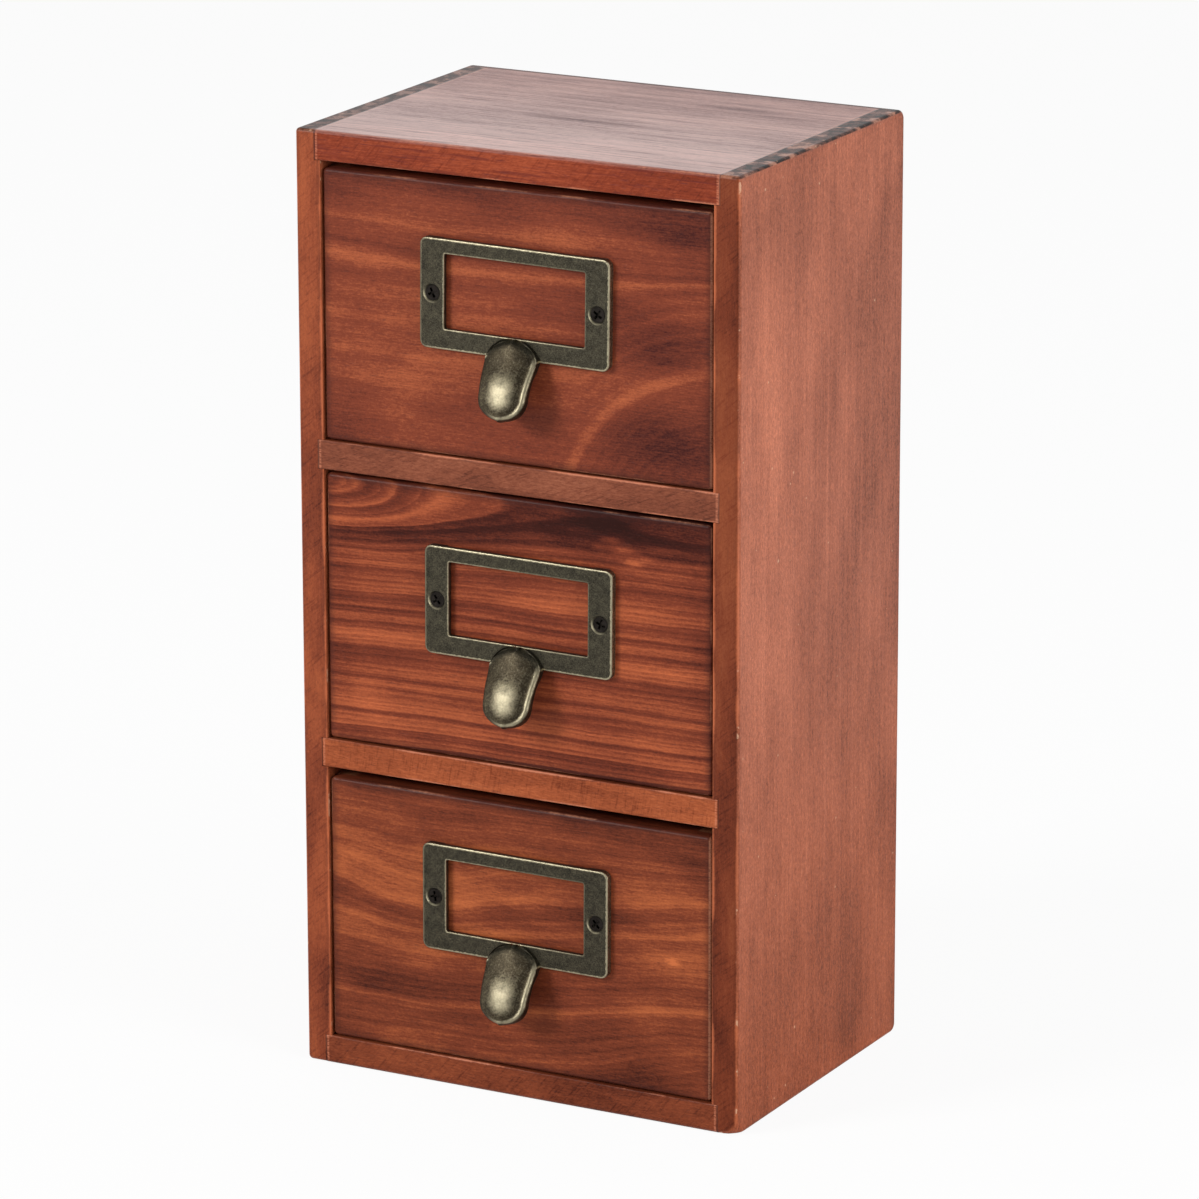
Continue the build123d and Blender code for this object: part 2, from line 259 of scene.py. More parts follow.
def setRoom(values):
    scene = bpy.context.scene
    scene.view_settings.view_transform = "Standard"
    world = bpy.data.worlds.new("studioRoom")
    scene.world = world
    w = emptyTree(world)
    rays = w.node("LightPath").outputs
    ahead = w.split(w.node("TexCoord").outputs["Generated"])[1]
    behind = w.span(ahead, *values["glossTurn"], values["frontGloss"], 1.0)
    gloss = w.most(rays["Is Glossy Ray"], rays["Is Transmission Ray"])
    seen = w.node("Mix", {0: gloss, 2: values["ambient"], 3: behind}).outputs[0]
    seen = w.node("Mix", {0: rays["Is Camera Ray"], 2: seen, 3: 1.0}).outputs[0]
    light = w.node("Background", {"Color": (1, 1, 1), "Strength": seen})
    w.node("OutputWorld", {"Surface": light.outputs[0]})
    addLamp("key", values)
    addLamp("fill", values)


def layFloor(values):
    bpy.ops.mesh.primitive_plane_add(size=values["floorSize"], location=(0, 0, 0))
    floor = bpy.context.object
    floor.name = "studioFloor"
    paper = bpy.data.materials.new("paleFloor")
    w = emptyTree(paper)
    rays = w.node("LightPath").outputs
    matt = w.node("BsdfDiffuse", {"Color": (values["floorTone"],) * 3})
    white = w.node("Emission", {"Color": (1, 1, 1), "Strength": 1.0})
    bright = w.times(w.most(rays["Is Camera Ray"], rays["Is Transmission Ray"]), values["floorWhite"])
    both = w.node("MixShader", {0: bright, 1: matt.outputs[0], 2: white.outputs[0]})
    w.node("OutputMaterial", {"Surface": both.outputs[0]})
    floor.data.materials.append(paper)


bpy.ops.object.select_all(action="DESELECT")
setCamera(photoCamera)
setRoom(studio)
layFloor(studio)
print("camera and studio set")


# Shared finishes

# each fine texture's stretch along and across the grain, detail, roughness and seed
fibreLayers = {
    "fine": (0.05, 1.5, 4, 0.65, 0.0),
    "hair": (0.2, 4.2, 2, 0.6, 7.7),
    "Grit": (0.4, 2.2, 2, 0.75, 17.0),
    "Speck": (1.3, 1.7, 2, 0.8, 27.0),
    "fleck": (0.22, 2.4, 2, 0.5, 12.3),
    "patch": (0.02, 0.05, 3, 0.55, 21.0),
}


# an input is a number, or None where it is a place
def newGroup(name, inputs, outputs):
    group = bpy.data.node_groups.new(name, "ShaderNodeTree")
    for label, value in inputs.items():
        kind = "NodeSocketVector" if value is None else "NodeSocketFloat"
        socket = group.interface.new_socket(label, in_out="INPUT", socket_type=kind)
        if value is not None:
            socket.default_value = value
    for label in outputs:
        group.interface.new_socket(label, in_out="OUTPUT", socket_type="NodeSocketFloat")
    w = Wiring(group)
    return group, w, w.node("NodeGroupInput").outputs, w.node("NodeGroupOutput").inputs


# Lets ring lines wander, Amount in mm; Place is in mm with x along the grain.
def makeWander():
    inputs = {"Place": None, "Level": 0.0, "Amount": 4.0}
    group, w, entry, leave = newGroup("grainWander", inputs, ["Level"])
    slow = w.noise(entry["Place"], stretch=(0.012, 0.04, 0.04), detail=2)
    quick = w.noise(entry["Place"], stretch=(0.05, 0.3, 0.3), detail=3, seed=3.1)
    shift = w.timesPlus(slow, 2.4, w.timesPlus(quick, 0.6, -1.5))
    w.put(leave["Level"], w.timesPlus(shift, entry["Amount"], entry["Level"]))
    return group


# Growth rings from their level in mm: each pales slowly towards its hard, quickly ended summer line.
def makeRings():
    group, w, entry, leave = newGroup("growthRings", {"Level": 0.0, "Gap": 5.0}, ["Ring", "Broad"])
    turn = w.math("DIVIDE", entry["Level"], entry["Gap"])
    broad = w.noiseLine(turn, scale=0.31, detail=3, roughness=0.6)
    part = w.math("FRACT", w.timesPlus(broad, 2.4, turn))
    rise = w.math("POWER", w.span(part, 0.0, 0.8), 1.6)
    w.feed(leave, {"Ring": w.times(rise, w.fall(part, 0.84, 1.0)), "Broad": broad})
    return group


# Fine fibre along x, and short dark flecks that lie with it.
def makeFibre():
    outputs = ["Fibre", "Fleck", "Patch", "Grit", "Speck"]
    group, w, entry, leave = newGroup("woodFibre", {"Place": None}, outputs)
    layers = {}
    for name, (along, across, detail, roughness, seed) in fibreLayers.items():
        stretch = (along, across, across)
        layers[name] = w.noise(entry["Place"], 1.0, detail, roughness, stretch, seed)
    w.feed(leave, {
        "Fibre": w.timesPlus(layers["hair"], 0.35, w.times(layers["fine"], 0.65)),
        "Grit": layers["Grit"],
        "Speck": layers["Speck"],
        "Fleck": w.span(layers["fleck"], 0.64, 0.74),
        "Patch": w.span(layers["patch"], 0.3, 0.7),
    })
    return group


# A soft oval spot, 1 at its centre, seen along y, in mm.
def makeSpot():
    inputs = {"Place": None, "Across": 0.0, "Height": 0.0, "Reach Across": 9.0, "Reach Up": 9.0}
    group, w, entry, leave = newGroup("softSpot", inputs, ["Spot"])
    x, y, z = w.split(entry["Place"])
    across = w.math("DIVIDE", w.minus(x, entry["Across"]), entry["Reach Across"])
    up = w.math("DIVIDE", w.minus(z, entry["Height"]), entry["Reach Up"])
    away = w.timesPlus(across, across, w.times(up, up))
    w.put(leave["Spot"], w.math("EXPONENT", w.times(away, -1.0)))
    return group


# How near a point of a board is to its edges, in mm, with the uneven reach of hand sanding.
def makeEdges():
    inputs = {"Place": None, "Low": None, "High": None, "Waver": 0.5}
    group, w, entry, leave = newGroup("boardEdges", inputs, ["Edge", "Near"])
    middle = w.scaled(w.vector("ADD", entry["Low"], entry["High"]), 0.5)
    half = w.vector("SUBTRACT", entry["High"], middle)
    away = w.vector("SUBTRACT", half, w.vector("ABSOLUTE", w.vector("SUBTRACT", entry["Place"], middle)))
    x, y, z = w.split(away)
    edge = w.most(w.least(x, y), w.least(w.most(x, y), z))
    drift = w.noise(entry["Place"], scale=0.14, detail=4, roughness=0.6, seed=5.5)
    rub = w.noise(entry["Place"], scale=0.9, detail=3, roughness=0.6, seed=8.5)
    slow = w.span(w.noise(entry["Place"], scale=0.05, detail=2, seed=2.5), 0.35, 0.65, -0.1, 0.6)
    w.feed(leave, {
        "Edge": w.plus(edge, w.times(w.minus(drift, 0.5), entry["Waver"])),
        "Near": w.timesPlus(rub, 0.7, w.plus(w.minus(edge, 0.35), slow)),
    })
    return group


# Distance from a point to the edge of an upright rounded rectangle, in mm, positive inside.
def makeRoundedRect():
    inputs = {"Across": 0.0, "Up": 0.0, "Half Wide": 10.0, "Half High": 10.0, "Corner": 1.0}
    group, w, entry, leave = newGroup("insideRectangle", inputs, ["Inside"])
    over = []
    for place, half in (("Across", "Half Wide"), ("Up", "Half High")):
        over.append(w.plus(w.minus(w.size(entry[place]), entry[half]), entry["Corner"]))
    outside = w.far(*(w.most(each, 0.0) for each in over))
    inner = w.least(w.most(*over), 0.0)
    w.put(leave["Inside"], w.minus(entry["Corner"], w.plus(outside, inner)))
    return group


wander, rings, fibre, spot, edges = makeWander(), makeRings(), makeFibre(), makeSpot(), makeEdges()
rectangle = makeRoundedRect()


def startMaterial(name):
    material = bpy.data.materials.new(name)
    w = emptyTree(material)
    shader = w.node("BsdfPrincipled")
    w.node("OutputMaterial", {"Surface": shader.outputs[0]})
    return material, w, shader.inputs


# Modelling helpers: whole edges, faces or points of the piece in hand are chosen by their place


def takeUp(*pieces):
    bpy.ops.object.select_all(action="DESELECT")
    for piece in pieces:
        piece.select_set(True)
        bpy.context.view_layer.objects.active = piece


def settle(piece):
    takeUp(piece)
    bpy.ops.object.transform_apply(location=True, rotation=True, scale=True)
    return piece


# a block of wood or metal between any two opposite corners, in mm
def plank(name, corner, opposite):
    size = [abs(b - a) * mm for a, b in zip(corner, opposite)]
    middle = [(a + b) / 2 * mm for a, b in zip(corner, opposite)]
    takeUp()
    bpy.ops.mesh.primitive_cube_add(size=1, location=middle, scale=size)
    made = bpy.context.object
    made.name = made.data.name = name
    return settle(made)


def choose(piece, kind, rule):
    takeUp(piece)
    bpy.ops.object.mode_set(mode="EDIT")
    bpy.ops.mesh.select_mode(type=kind)
    bpy.ops.mesh.select_all(action="DESELECT")
    mesh = bmesh.from_edit_mesh(piece.data)
    for part in {"VERT": mesh.verts, "EDGE": mesh.edges, "FACE": mesh.faces}[kind]:
        part.select = rule(part)
    mesh.select_flush_mode()
    bmesh.update_edit_mesh(piece.data)


def leaveEdit():
    bpy.ops.object.mode_set(mode="OBJECT")


def bevelEdges(piece, rule, width, segments=3):
    choose(piece, "EDGE", rule)
    bpy.ops.mesh.bevel(offset=width * mm, segments=segments, affect="EDGES")
    leaveEdit()


# an edge rule: both its ends lie at the places named in mm, such as y=-55
def edgesAt(**places):
    def rule(edge):
        ends = [point.co for point in edge.verts]
        return all(abs(getattr(end, axis) / mm - at) < near for axis, at in places.items() for end in ends)

    return rule


def alongY(edge):
    return abs(edge.verts[0].co.y - edge.verts[1].co.y) > near * mm


def applied(piece, kind, **settings):
    modifier = piece.modifiers.new(kind.lower(), kind)
    for key, value in settings.items():
        setattr(modifier, key, value)
    takeUp(piece)
    bpy.ops.object.modifier_apply(modifier=modifier.name)


def cutAway(piece, *cutters, operation="DIFFERENCE"):
    for cutter in cutters:
        applied(piece, "BOOLEAN", object=cutter, operation=operation, solver="EXACT")
        bpy.data.objects.remove(cutter)


def dress(piece, material, body, *replaced, slot):
    takeUp(piece)
    bpy.ops.object.shade_smooth_by_angle(angle=radians(30))  # sharper edges stay crisp
    applied(piece, "WEIGHTED_NORMAL", weight=100, keep_sharp=True)  # the large faces stay flat
    piece.data.materials.clear()
    piece.data.materials.append(material)
    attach(piece, body)
    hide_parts(*replaced)


# Label pulls, modelled once lying against the plane y = 0 with the frame's centre at the origin

labelPull = dict(
    window=(47.6, 23.0), sideBar=8.3, topBar=4.6, bottomBar=6.4, thick=2.2, corner=2.4, bevel=0.45,
    windowCorner=0.5, windowBevel=0.35, screwHole=1.3, countersink=2.9,
    overSink=0.4,  # how far the countersink's cutter stands out of the frame
    cardMargin=1.4, cardDepth=0.7,
    rootHalf=8.7,  # the tongue: half widths at its shoulders and at its round end
    tipHalf=8.0, shoulder=6.0, length=23.0,
    rootDrop=0.4,  # from the window's lower edge to the top of the tongue's arch
    tipRound=7.0,  # how much of the length the round end takes
    # below the window's lower edge, and the stand-off of edge, crown, inner edge and inner crown there
    sections=((0, 1.6, 3.6, 0.9, 1.4), (6.4, 4.2, 6.5, 1.0, 2.0), (12, 7.8, 10.0, 5.8, 8.1),
              (18, 10.2, 12.0, 8.4, 10.2), (25, 11.6, 13.0, 9.8, 11.2)),
    rim=(0.32, 0.75, 0.55),  # height, place from the edge and width of the raised line round the tongue
    valley=(-0.3, 2.3, 0.8),  # and of the hollow inside it
    rimStart=(4.0, 5.0),  # where they begin, and the length in which they grow
    rimLeft=(0.2, 0.4),  # their share on the left side, and how far left of the middle it ends
    cells=26,
)
pullPlaces = {"top": (0.7, 250.4, 0.7), "middle": (1.4, 155.4, 0.4), "bottom": (-0.3, 60.9, 0.3)}
pullFrame = SimpleNamespace(
    wide=labelPull["window"][0] + 2 * labelPull["sideBar"],
    high=labelPull["window"][1] + labelPull["topBar"] + labelPull["bottomBar"],
    screw=(labelPull["window"][0] + labelPull["sideBar"]) / 2,
)
pullFrame.windowLow = labelPull["bottomBar"] - pullFrame.high / 2


def clipped(value):
    return min(max(value, 0), 1)


def smoothBetween(rows, at, column):
    for k, (before, after) in enumerate(zip(rows, rows[1:])):
        if at <= after[0] or after is rows[-1]:
            break
    span = after[0] - before[0]
    rise = after[column] - before[column]
    low = rows[k - 1] if k else before
    high = rows[k + 2] if k + 2 < len(rows) else after
    enter = (after[column] - low[column]) / (after[0] - low[0]) if k else rise / span
    leave = (high[column] - before[column]) / (high[0] - before[0]) if high is not after else rise / span
    t = (at - before[0]) / span
    t2, t3 = t * t, t * t * t
    ease = 3 * t2 - 2 * t3
    return before[column] + ease * rise + ((t3 - 2 * t2 + t) * enter + (t3 - t2) * leave) * span


def tongueHalf(v, down):
    if down < v.shoulder:
        radius = (v.rootHalf ** 2 + v.shoulder ** 2) / (2 * v.shoulder)
        return max(radius ** 2 - (radius - down) ** 2, 0) ** 0.5
    turn = v.length - v.tipRound
    if down > turn:
        return v.tipHalf * max(1 - ((down - turn) / v.tipRound) ** 2, 0) ** 0.5
    share = (down - v.shoulder) / (turn - v.shoulder)
    return v.rootHalf + (v.tipHalf - v.rootHalf) * share


# how far the cast rim and its valley stand out, t going from -1 to 1 across the tongue
def rimRelief(v, down, t):
    turn = v.length - v.tipRound
    past = max(down - turn, 0) * v.tipHalf / v.tipRound
    fromEdge = tongueHalf(v, min(down, turn)) - ((t * tongueHalf(v, down)) ** 2 + past ** 2) ** 0.5
    begin, grow = v.rimStart
    least, left = v.rimLeft
    free = clipped((down - begin) / grow) * (least + (1 - least) * clipped(t + left))
    return free * sum(tall * exp(-(((fromEdge - at) / wide) ** 2)) for tall, at, wide in (v.rim, v.valley))


def tongueSheet(v, inner):
    takeUp()
    bpy.ops.mesh.primitive_grid_add(x_subdivisions=v.cells, y_subdivisions=v.cells, size=2)
    sheet = bpy.context.object
    for point in sheet.data.vertices:
        a, b = point.co.x, point.co.y
        across, along = a * (1 - b * b / 2) ** 0.5, b * (1 - a * a / 2) ** 0.5  # the square made round
        down = v.length * (1 - along) / 2
        chord = max(1 - along * along, 1e-9) ** 0.5
        half = tongueHalf(v, down) if chord > 1e-3 else 0
        t = max(-1.0, min(1.0, across / chord)) if half else 0
        edge = smoothBetween(v.sections, down, 3 if inner else 1)
        crown = smoothBetween(v.sections, down, 4 if inner else 2)
        out = edge + (crown - edge) * (1 - t * t)
        if not inner:
            out += rimRelief(v, down, t)
        point.co = (t * half * mm, -out * mm, (pullFrame.windowLow - v.rootDrop - down) * mm)
    return sheet


def makeTongue(v):
    front, back = tongueSheet(v, False), tongueSheet(v, True)
    takeUp(back, front)
    bpy.ops.object.join()
    choose(front, "EDGE", lambda edge: edge.is_boundary)
    bpy.ops.mesh.bridge_edge_loops(number_cuts=2)
    bpy.ops.mesh.select_all(action="SELECT")
    bpy.ops.mesh.normals_make_consistent(inside=False)
    leaveEdit()
    applied(front, "SUBSURF", levels=1, render_levels=1)
    return front


# a cone for the screw head's seat, with a shaft that clears the frame's back
def screwCutter(v, place):
    wide, deep = v.countersink + v.overSink, v.countersink + v.overSink - v.screwHole
    takeUp()
    bpy.ops.mesh.primitive_cone_add(
        vertices=48, radius1=wide * mm, radius2=v.screwHole * mm, depth=deep * mm,
        location=(place * mm, (deep / 2 - v.thick - v.overSink) * mm, 0), rotation=(-pi / 2, 0, 0),
    )
    drill = settle(bpy.context.object)
    choose(drill, "FACE", lambda face: face.normal.y > 0.9)
    bpy.ops.mesh.extrude_region_move(TRANSFORM_OT_translate={"value": (0, 3 * v.thick * mm, 0)})
    leaveEdit()
    return drill


def makePull(values):
    v = SimpleNamespace(**values)
    halfWide, halfHigh, low = pullFrame.wide / 2, pullFrame.high / 2, pullFrame.windowLow
    side, top, over = v.window[0] / 2, low + v.window[1], v.cardMargin
    pocketFar = (side + over, v.thick, halfHigh + over)
    plate = plank("labelPull", (-halfWide, -v.thick, -halfHigh), (halfWide, 0, halfHigh))
    bevelEdges(plate, alongY, v.corner, 8)
    bevelEdges(plate, edgesAt(y=-v.thick), v.bevel, 3)
    opening = plank("opening", (-side, -2 * v.thick, low), (side, v.thick, top))
    bevelEdges(opening, alongY, v.windowCorner, 3)
    pocket = plank("pocket", (-side - over, -v.cardDepth, low - over), pocketFar)
    cutAway(plate, opening, pocket)

    def windowFront(edge):
        ends = [point.co / mm for point in edge.verts]
        inside = all(abs(p.x) < side + near and low - near < p.z < top + near for p in ends)
        return inside and all(p.y < near - v.thick for p in ends)

    bevelEdges(plate, windowFront, v.windowBevel, 2)
    cutAway(plate, screwCutter(v, -pullFrame.screw), screwCutter(v, pullFrame.screw))
    cutAway(plate, makeTongue(v), operation="UNION")
    return plate


# Cast alloy under a dark patina, rubbed bright on its edges and where fingers touch it, with painted
# highlights on bevels, countersinks, the right-hand wall and the tongue's rim

patina = dict(
    deep=toned(34, 34, 32), olive=toned(66, 62, 51), pale=toned(100, 94, 78), bright=toned(190, 180, 150),
    brown=toned(34, 28, 22), gold=toned(84, 74, 56), roughness=0.42,
    # rubbed lines, and the painted highlight lines on the tongue's rim and in the countersinks: distance from
    # the edge named, then from that where they start and end to fade
    outerLine=(0.3, 0.1, 0.45), innerLine=(-0.2, 0.05, 0.35), rimHighlight=(0.8, 0.25, 0.9),
    sinkHighlight=(2.75, 0.1, 0.35),
    cloud=(0.6, 0.7),  # how much the broad and the fine clouds, then the specks, show
    speck=2.1, tongueSpeck=0.6,
)


# bright lines on the frame's front: rubbed edges, partly painted highlight; a painted highlight in the
# countersinks and on its right-hand wall
def frameLines(w, v, x, y, z, outer, inner, fine, waver):
    # rubbed edge lines, weighted to the right outer and left inner bevels, which catch the light: part wear,
    # part painted highlight
    lines = w.most(
        w.times(w.stripe(outer, *patina["outerLine"], waver=waver), w.span(x, -31.0, -28.0, 0.35, 1.0)),
        w.times(w.stripe(inner, *patina["innerLine"], waver=waver), w.span(x, -22.0, 20.0, 0.8, 0.3)),
    )
    # painted highlight: a bright crescent on each countersink's lower-left wall, which faces the light
    screw = pullFrame.screw
    fromScrew = w.far(w.minus(w.size(x), screw), z)
    across = w.minus(x, w.times(w.math("SIGN", x), screw))
    litLowerLeft = w.span(w.plus(across, z), -3.6, -0.4, 0.8, 0.05)
    lines = w.most(lines, w.times(w.stripe(fromScrew, *patina["sinkHighlight"]), litLowerLeft))
    lines = w.times(lines, w.fall(y, -v.thick - 0.3, -v.thick + 0.9))
    # painted highlight on the frame's right-hand wall
    wallHighlight = w.times(w.fall(outer, 0.0, 0.3), w.span(x, 29.0, 32.0))
    return w.most(lines, w.times(wallHighlight, w.span(fine, 0.35, 0.6, 0.1, 0.7)))


# the tongue's crown, rubbed by fingers, and a painted highlight along the right part of its rim
def tongueWearAndHighlight(w, v, x, down, fine, waver):
    turn = v.length - v.tipRound
    past = w.times(w.most(w.minus(down, turn), 0.0), v.tipHalf / v.tipRound)
    fromMiddle = w.far(x, past)
    half = w.span(down, v.shoulder, turn, v.rootHalf, v.tipHalf, smooth=False)
    # painted highlight along the right part of the rim
    rim = w.stripe(w.minus(half, fromMiddle), *patina["rimHighlight"], waver=waver)
    rim = w.times(rim, w.span(w.timesPlus(down, 0.25, x), 0.0, 6.0, 0.0, 0.6))
    crown = w.times(w.fall(fromMiddle, 0.5, 6.0), w.span(down, 7.0, 16.0))
    return w.most(rim, w.times(w.sway(crown, fine, 1.0), 0.6))


def agedMetal(name, centre, tilt):
    v = SimpleNamespace(**labelPull)
    material, w, shader = startMaterial(name)
    place = w.moved(w.here(), location=[-c for c in centre])
    place = w.moved(place, rotation=(0, -radians(tilt), 0), scale=(1 / mm,) * 3)
    x, y, z = w.split(place)
    wide, high = v.window
    middle = pullFrame.windowLow + high / 2
    outer = w.use(rectangle, across=x, up=z, halfWide=pullFrame.wide / 2, halfHigh=pullFrame.high / 2,
                  corner=v.corner)["Inside"]
    inner = w.use(rectangle, across=x, up=w.minus(z, middle), halfWide=wide / 2, halfHigh=high / 2,
                  corner=v.windowCorner)["Inside"]
    rub = w.noise(place, scale=0.35, detail=4, roughness=0.6, seed=3.3)
    fine = w.noise(place, scale=1.6, detail=5, roughness=0.7, seed=9.1)
    speck = w.noise(place, scale=5.0, detail=3, roughness=0.75, seed=4.2)
    waver = w.sway(0.0, fine, 1.1)
    onTongue = w.fall(y, -4.6, -3.0)
    lines = frameLines(w, v, x, y, z, outer, inner, fine, waver)
    tongueRubAndHighlight = tongueWearAndHighlight(w, v, x, w.minus(pullFrame.windowLow, z), fine, waver)
    # rubbed wear together with the painted highlights on bevels, countersinks, wall and rim
    rubAndHighlight = w.most(w.times(lines, w.minus(1.0, onTongue)), w.times(tongueRubAndHighlight, onTongue))
    rubAndHighlight = w.times(rubAndHighlight, w.span(rub, 0.2, 0.55, 0.45, 1.0), clamp=True)
    broad, small = patina["cloud"]
    cloud = w.sway(w.times(fine, small), rub, broad)
    frame, tongue = w.sway(cloud, speck, patina["speck"]), w.sway(cloud, speck, patina["tongueSpeck"])
    colour = w.ramp(frame, [(0.05, patina["deep"]), (0.35, patina["olive"]), (0.75, patina["pale"])])
    warm = w.ramp(tongue, [(0.1, patina["brown"]), (0.7, patina["gold"])])
    colour = w.mix(w.times(onTongue, 0.75), colour, warm)
    w.feed(shader, {
        "Base Color": w.mix(rubAndHighlight, colour, patina["bright"]),
        "Metallic": 1.0,
        "Roughness": w.timesPlus(speck, 0.25, w.timesPlus(rubAndHighlight, -0.1, patina["roughness"] - 0.1)),
        "Normal": w.bump(w.timesPlus(fine, 0.8, speck), 0.12 * mm, 0.5),
    })
    return material


pattern = makePull(labelPull)
for drawer, (right, up, tilt) in pullPlaces.items():
    centre = (right * mm, frontFace * mm, up * mm)
    pull = pattern.copy()
    pull.data = pattern.data.copy()
    pull.name = pull.data.name = f"labelPull_{drawer}"
    bpy.context.collection.objects.link(pull)
    pull.rotation_euler = (0, radians(tilt), 0)
    pull.location = centre
    settle(pull)
    metal = agedMetal(f"agedMetal_{drawer}", centre, tilt)
    dress(pull, metal, f"drawer_{drawer}", f"drawer_{drawer}_label_pull", slot="antique_bronze")
bpy.data.objects.remove(pattern)
print("label pulls made")


# Stained and lacquered softwood

grainTurns = {"x": (0, 0, 0), "y": (0, 0, -pi / 2), "z": (0, pi / 2, 0)}  # brings the grain onto x

stain = dict(
    dark=toned(66, 27, 22), mid=toned(124, 57, 38), light=toned(178, 86, 48), edge=toned(48, 22, 20),
    # after the edge shade, the colour, width and share of the pale edge lines: rubbed wear and painted
    # highlight on the rounded edges
    edgeWidth=4.0, edgeDark=0.6, worn=toned(190, 130, 100), wornWidth=0.7, wornLight=0.5,
    chip=toned(214, 172, 140), tone=0.45,
    gap=5.0,  # between growth rings, in mm
    thinGap=0.29,  # and between the fine lines, as a share of that
    wander=4.0,
    bands=None,  # (level in mm, tone) across the figure, as it is seen from far off
    bandPull=0.8,
    spots=(),  # (across, height, reach across, reach up, tone): soft dark and light places
    spotFace="front",  # the side from which the spots are seen
    ringPull=0.25,
    finePull=0.1,  # the fine lines between the rings
    broadPull=0.3, fibrePull=0.35, gritPull=0.7, patchPull=0.3, speckPull=0.45, fleckDark=0.4,
    streaks=0.0,  # thin dark lines where the stain sank along the grain
    ticks=0.0,  # slanting saw and end grain marks on faces turned to the front
    tickTurn=50,
    endGrain=None,  # (mm from the back, tone) along the end that faces up
    endColours=[(0.0, toned(24, 10, 7)), (0.5, toned(92, 52, 38)), (1.0, toned(170, 112, 86))],
    endSlant=0.45,  # how far the rows of end grain run back for each mm from the cabinet's middle
    endBack=32,  # and how far they have run, in mm, where the ends lie
    scuffs=0.0,
    lacquer=0.5,  # faces turned to the front have none left
    lacquerFade=("z", 0.0, 1.0, 1.0, 1.0),  # axis, two places in mm and the share of lacquer left there
    front=None,  # dark, mid and light of faces turned to the front, where they differ
    runOver=None,  # the colour of stain that ran onto the front end of the drawers' bare wood
    runReach=(-49.5, -46.5),  # the y where it starts to fade and where it is gone
    joints=False,  # a dark line where the board's ends meet the sides, and a rubbed one beside it
    frontCalm=(1.0, 1.0),  # shares of the fine texture and of the patches on faces turned to the front
    backLine=False,  # painted shade along the top's rounded far edge
    paleEnd=0.0,  # how far the right end of the front face is painted pale: rubbed wear and painted highlight on its rounded edge
    specular=0.09, roughness=0.36, bump=0.6,
)


# the place on a board as it is seen from one side, across in x and up in z
def facePlace(b, face):
    if face == "front":
        return b.board
    across, up = (b.x, b.y) if face == "top" else (b.y, b.z)
    return b.w.node("CombineXYZ", {0: across, 1: 0.0, 2: up}).outputs[0]


# dark, mid and light stand at tones 0, 0.5 and 1, with some room below and above them
def toneRamp(w, spread, dark, mid, light):
    deepest, palest = [c * 0.42 for c in dark], [min(c * 1.18, 1) for c in light]
    return w.ramp(spread, [(0.0, deepest), (0.22, dark), (0.57, mid), (0.92, light), (1.0, palest)])


# What all layers of a board's finish read; figure(w, board) gives the ring level at a place, both in mm
def readBoard(name, low, high, grain, figure, v):
    material, w, shader = startMaterial(name)
    board = w.scaled(w.here(), 1 / mm)
    place = w.moved(board, rotation=grainTurns[grain])
    level = figure(w, board) if figure else w.split(place)[1]
    level = w.use(wander, place=place, level=level, amount=v.wander)["Level"]
    low, high = Vector(low) / mm, Vector(high) / mm
    x, y, z = w.split(board)
    return SimpleNamespace(
        material=material, shader=shader, w=w, v=v, board=board, place=place, level=level, high=high,
        x=x, y=y, z=z, fine=w.use(fibre, place=place), ring=w.use(rings, level=level, gap=v.gap),
        thin=w.use(rings, level=level, gap=v.gap * v.thinGap),
        near=w.use(edges, place=board, low=low, high=high, waver=2.0),
        facing=w.span(y, low.y + 0.05, low.y + 0.45, 1.0, 0.0),
    )


def woodTone(b):
    w, v, tone = b.w, b.v, b.v.tone
    if v.bands:
        tone = w.sway(tone, w.read(b.level, v.bands, ease="EASE"), v.bandPull)
    for source, middle, pull in (
        (b.ring["Ring"], 0.35, v.ringPull), (b.thin["Ring"], 0.35, v.finePull),
        (b.ring["Broad"], 0.5, v.broadPull), (b.fine["Fibre"], 0.5, v.fibrePull),
        (b.fine["Grit"], 0.5, v.gritPull), (b.fine["Patch"], 0.5, v.patchPull),
        (b.fine["Speck"], 0.5, v.speckPull),
    ):
        share = v.frontCalm[source.name == "Patch"]
        strength = pull if share == 1 else w.span(b.facing, 0.0, 1.0, pull, pull * share, smooth=False)
        tone = w.sway(tone, source, strength, middle)
    seen = facePlace(b, v.spotFace)
    for across, up, reachAcross, reachUp, change in v.spots:
        soft = w.use(spot, place=seen, across=across, height=up, reachAcross=reachAcross, reachUp=reachUp)
        tone = w.timesPlus(soft["Spot"], change, tone)
    if v.ticks:
        slanted = w.moved(b.board, rotation=(0, radians(v.tickTurn), 0))
        tick = w.noise(slanted, stretch=(0.14, 0.3, 1.5), detail=3, roughness=0.6, seed=31.0)
        tone = w.timesPlus(w.times(w.span(tick, 0.5, 0.72), b.facing), -v.ticks, tone)
    return tone


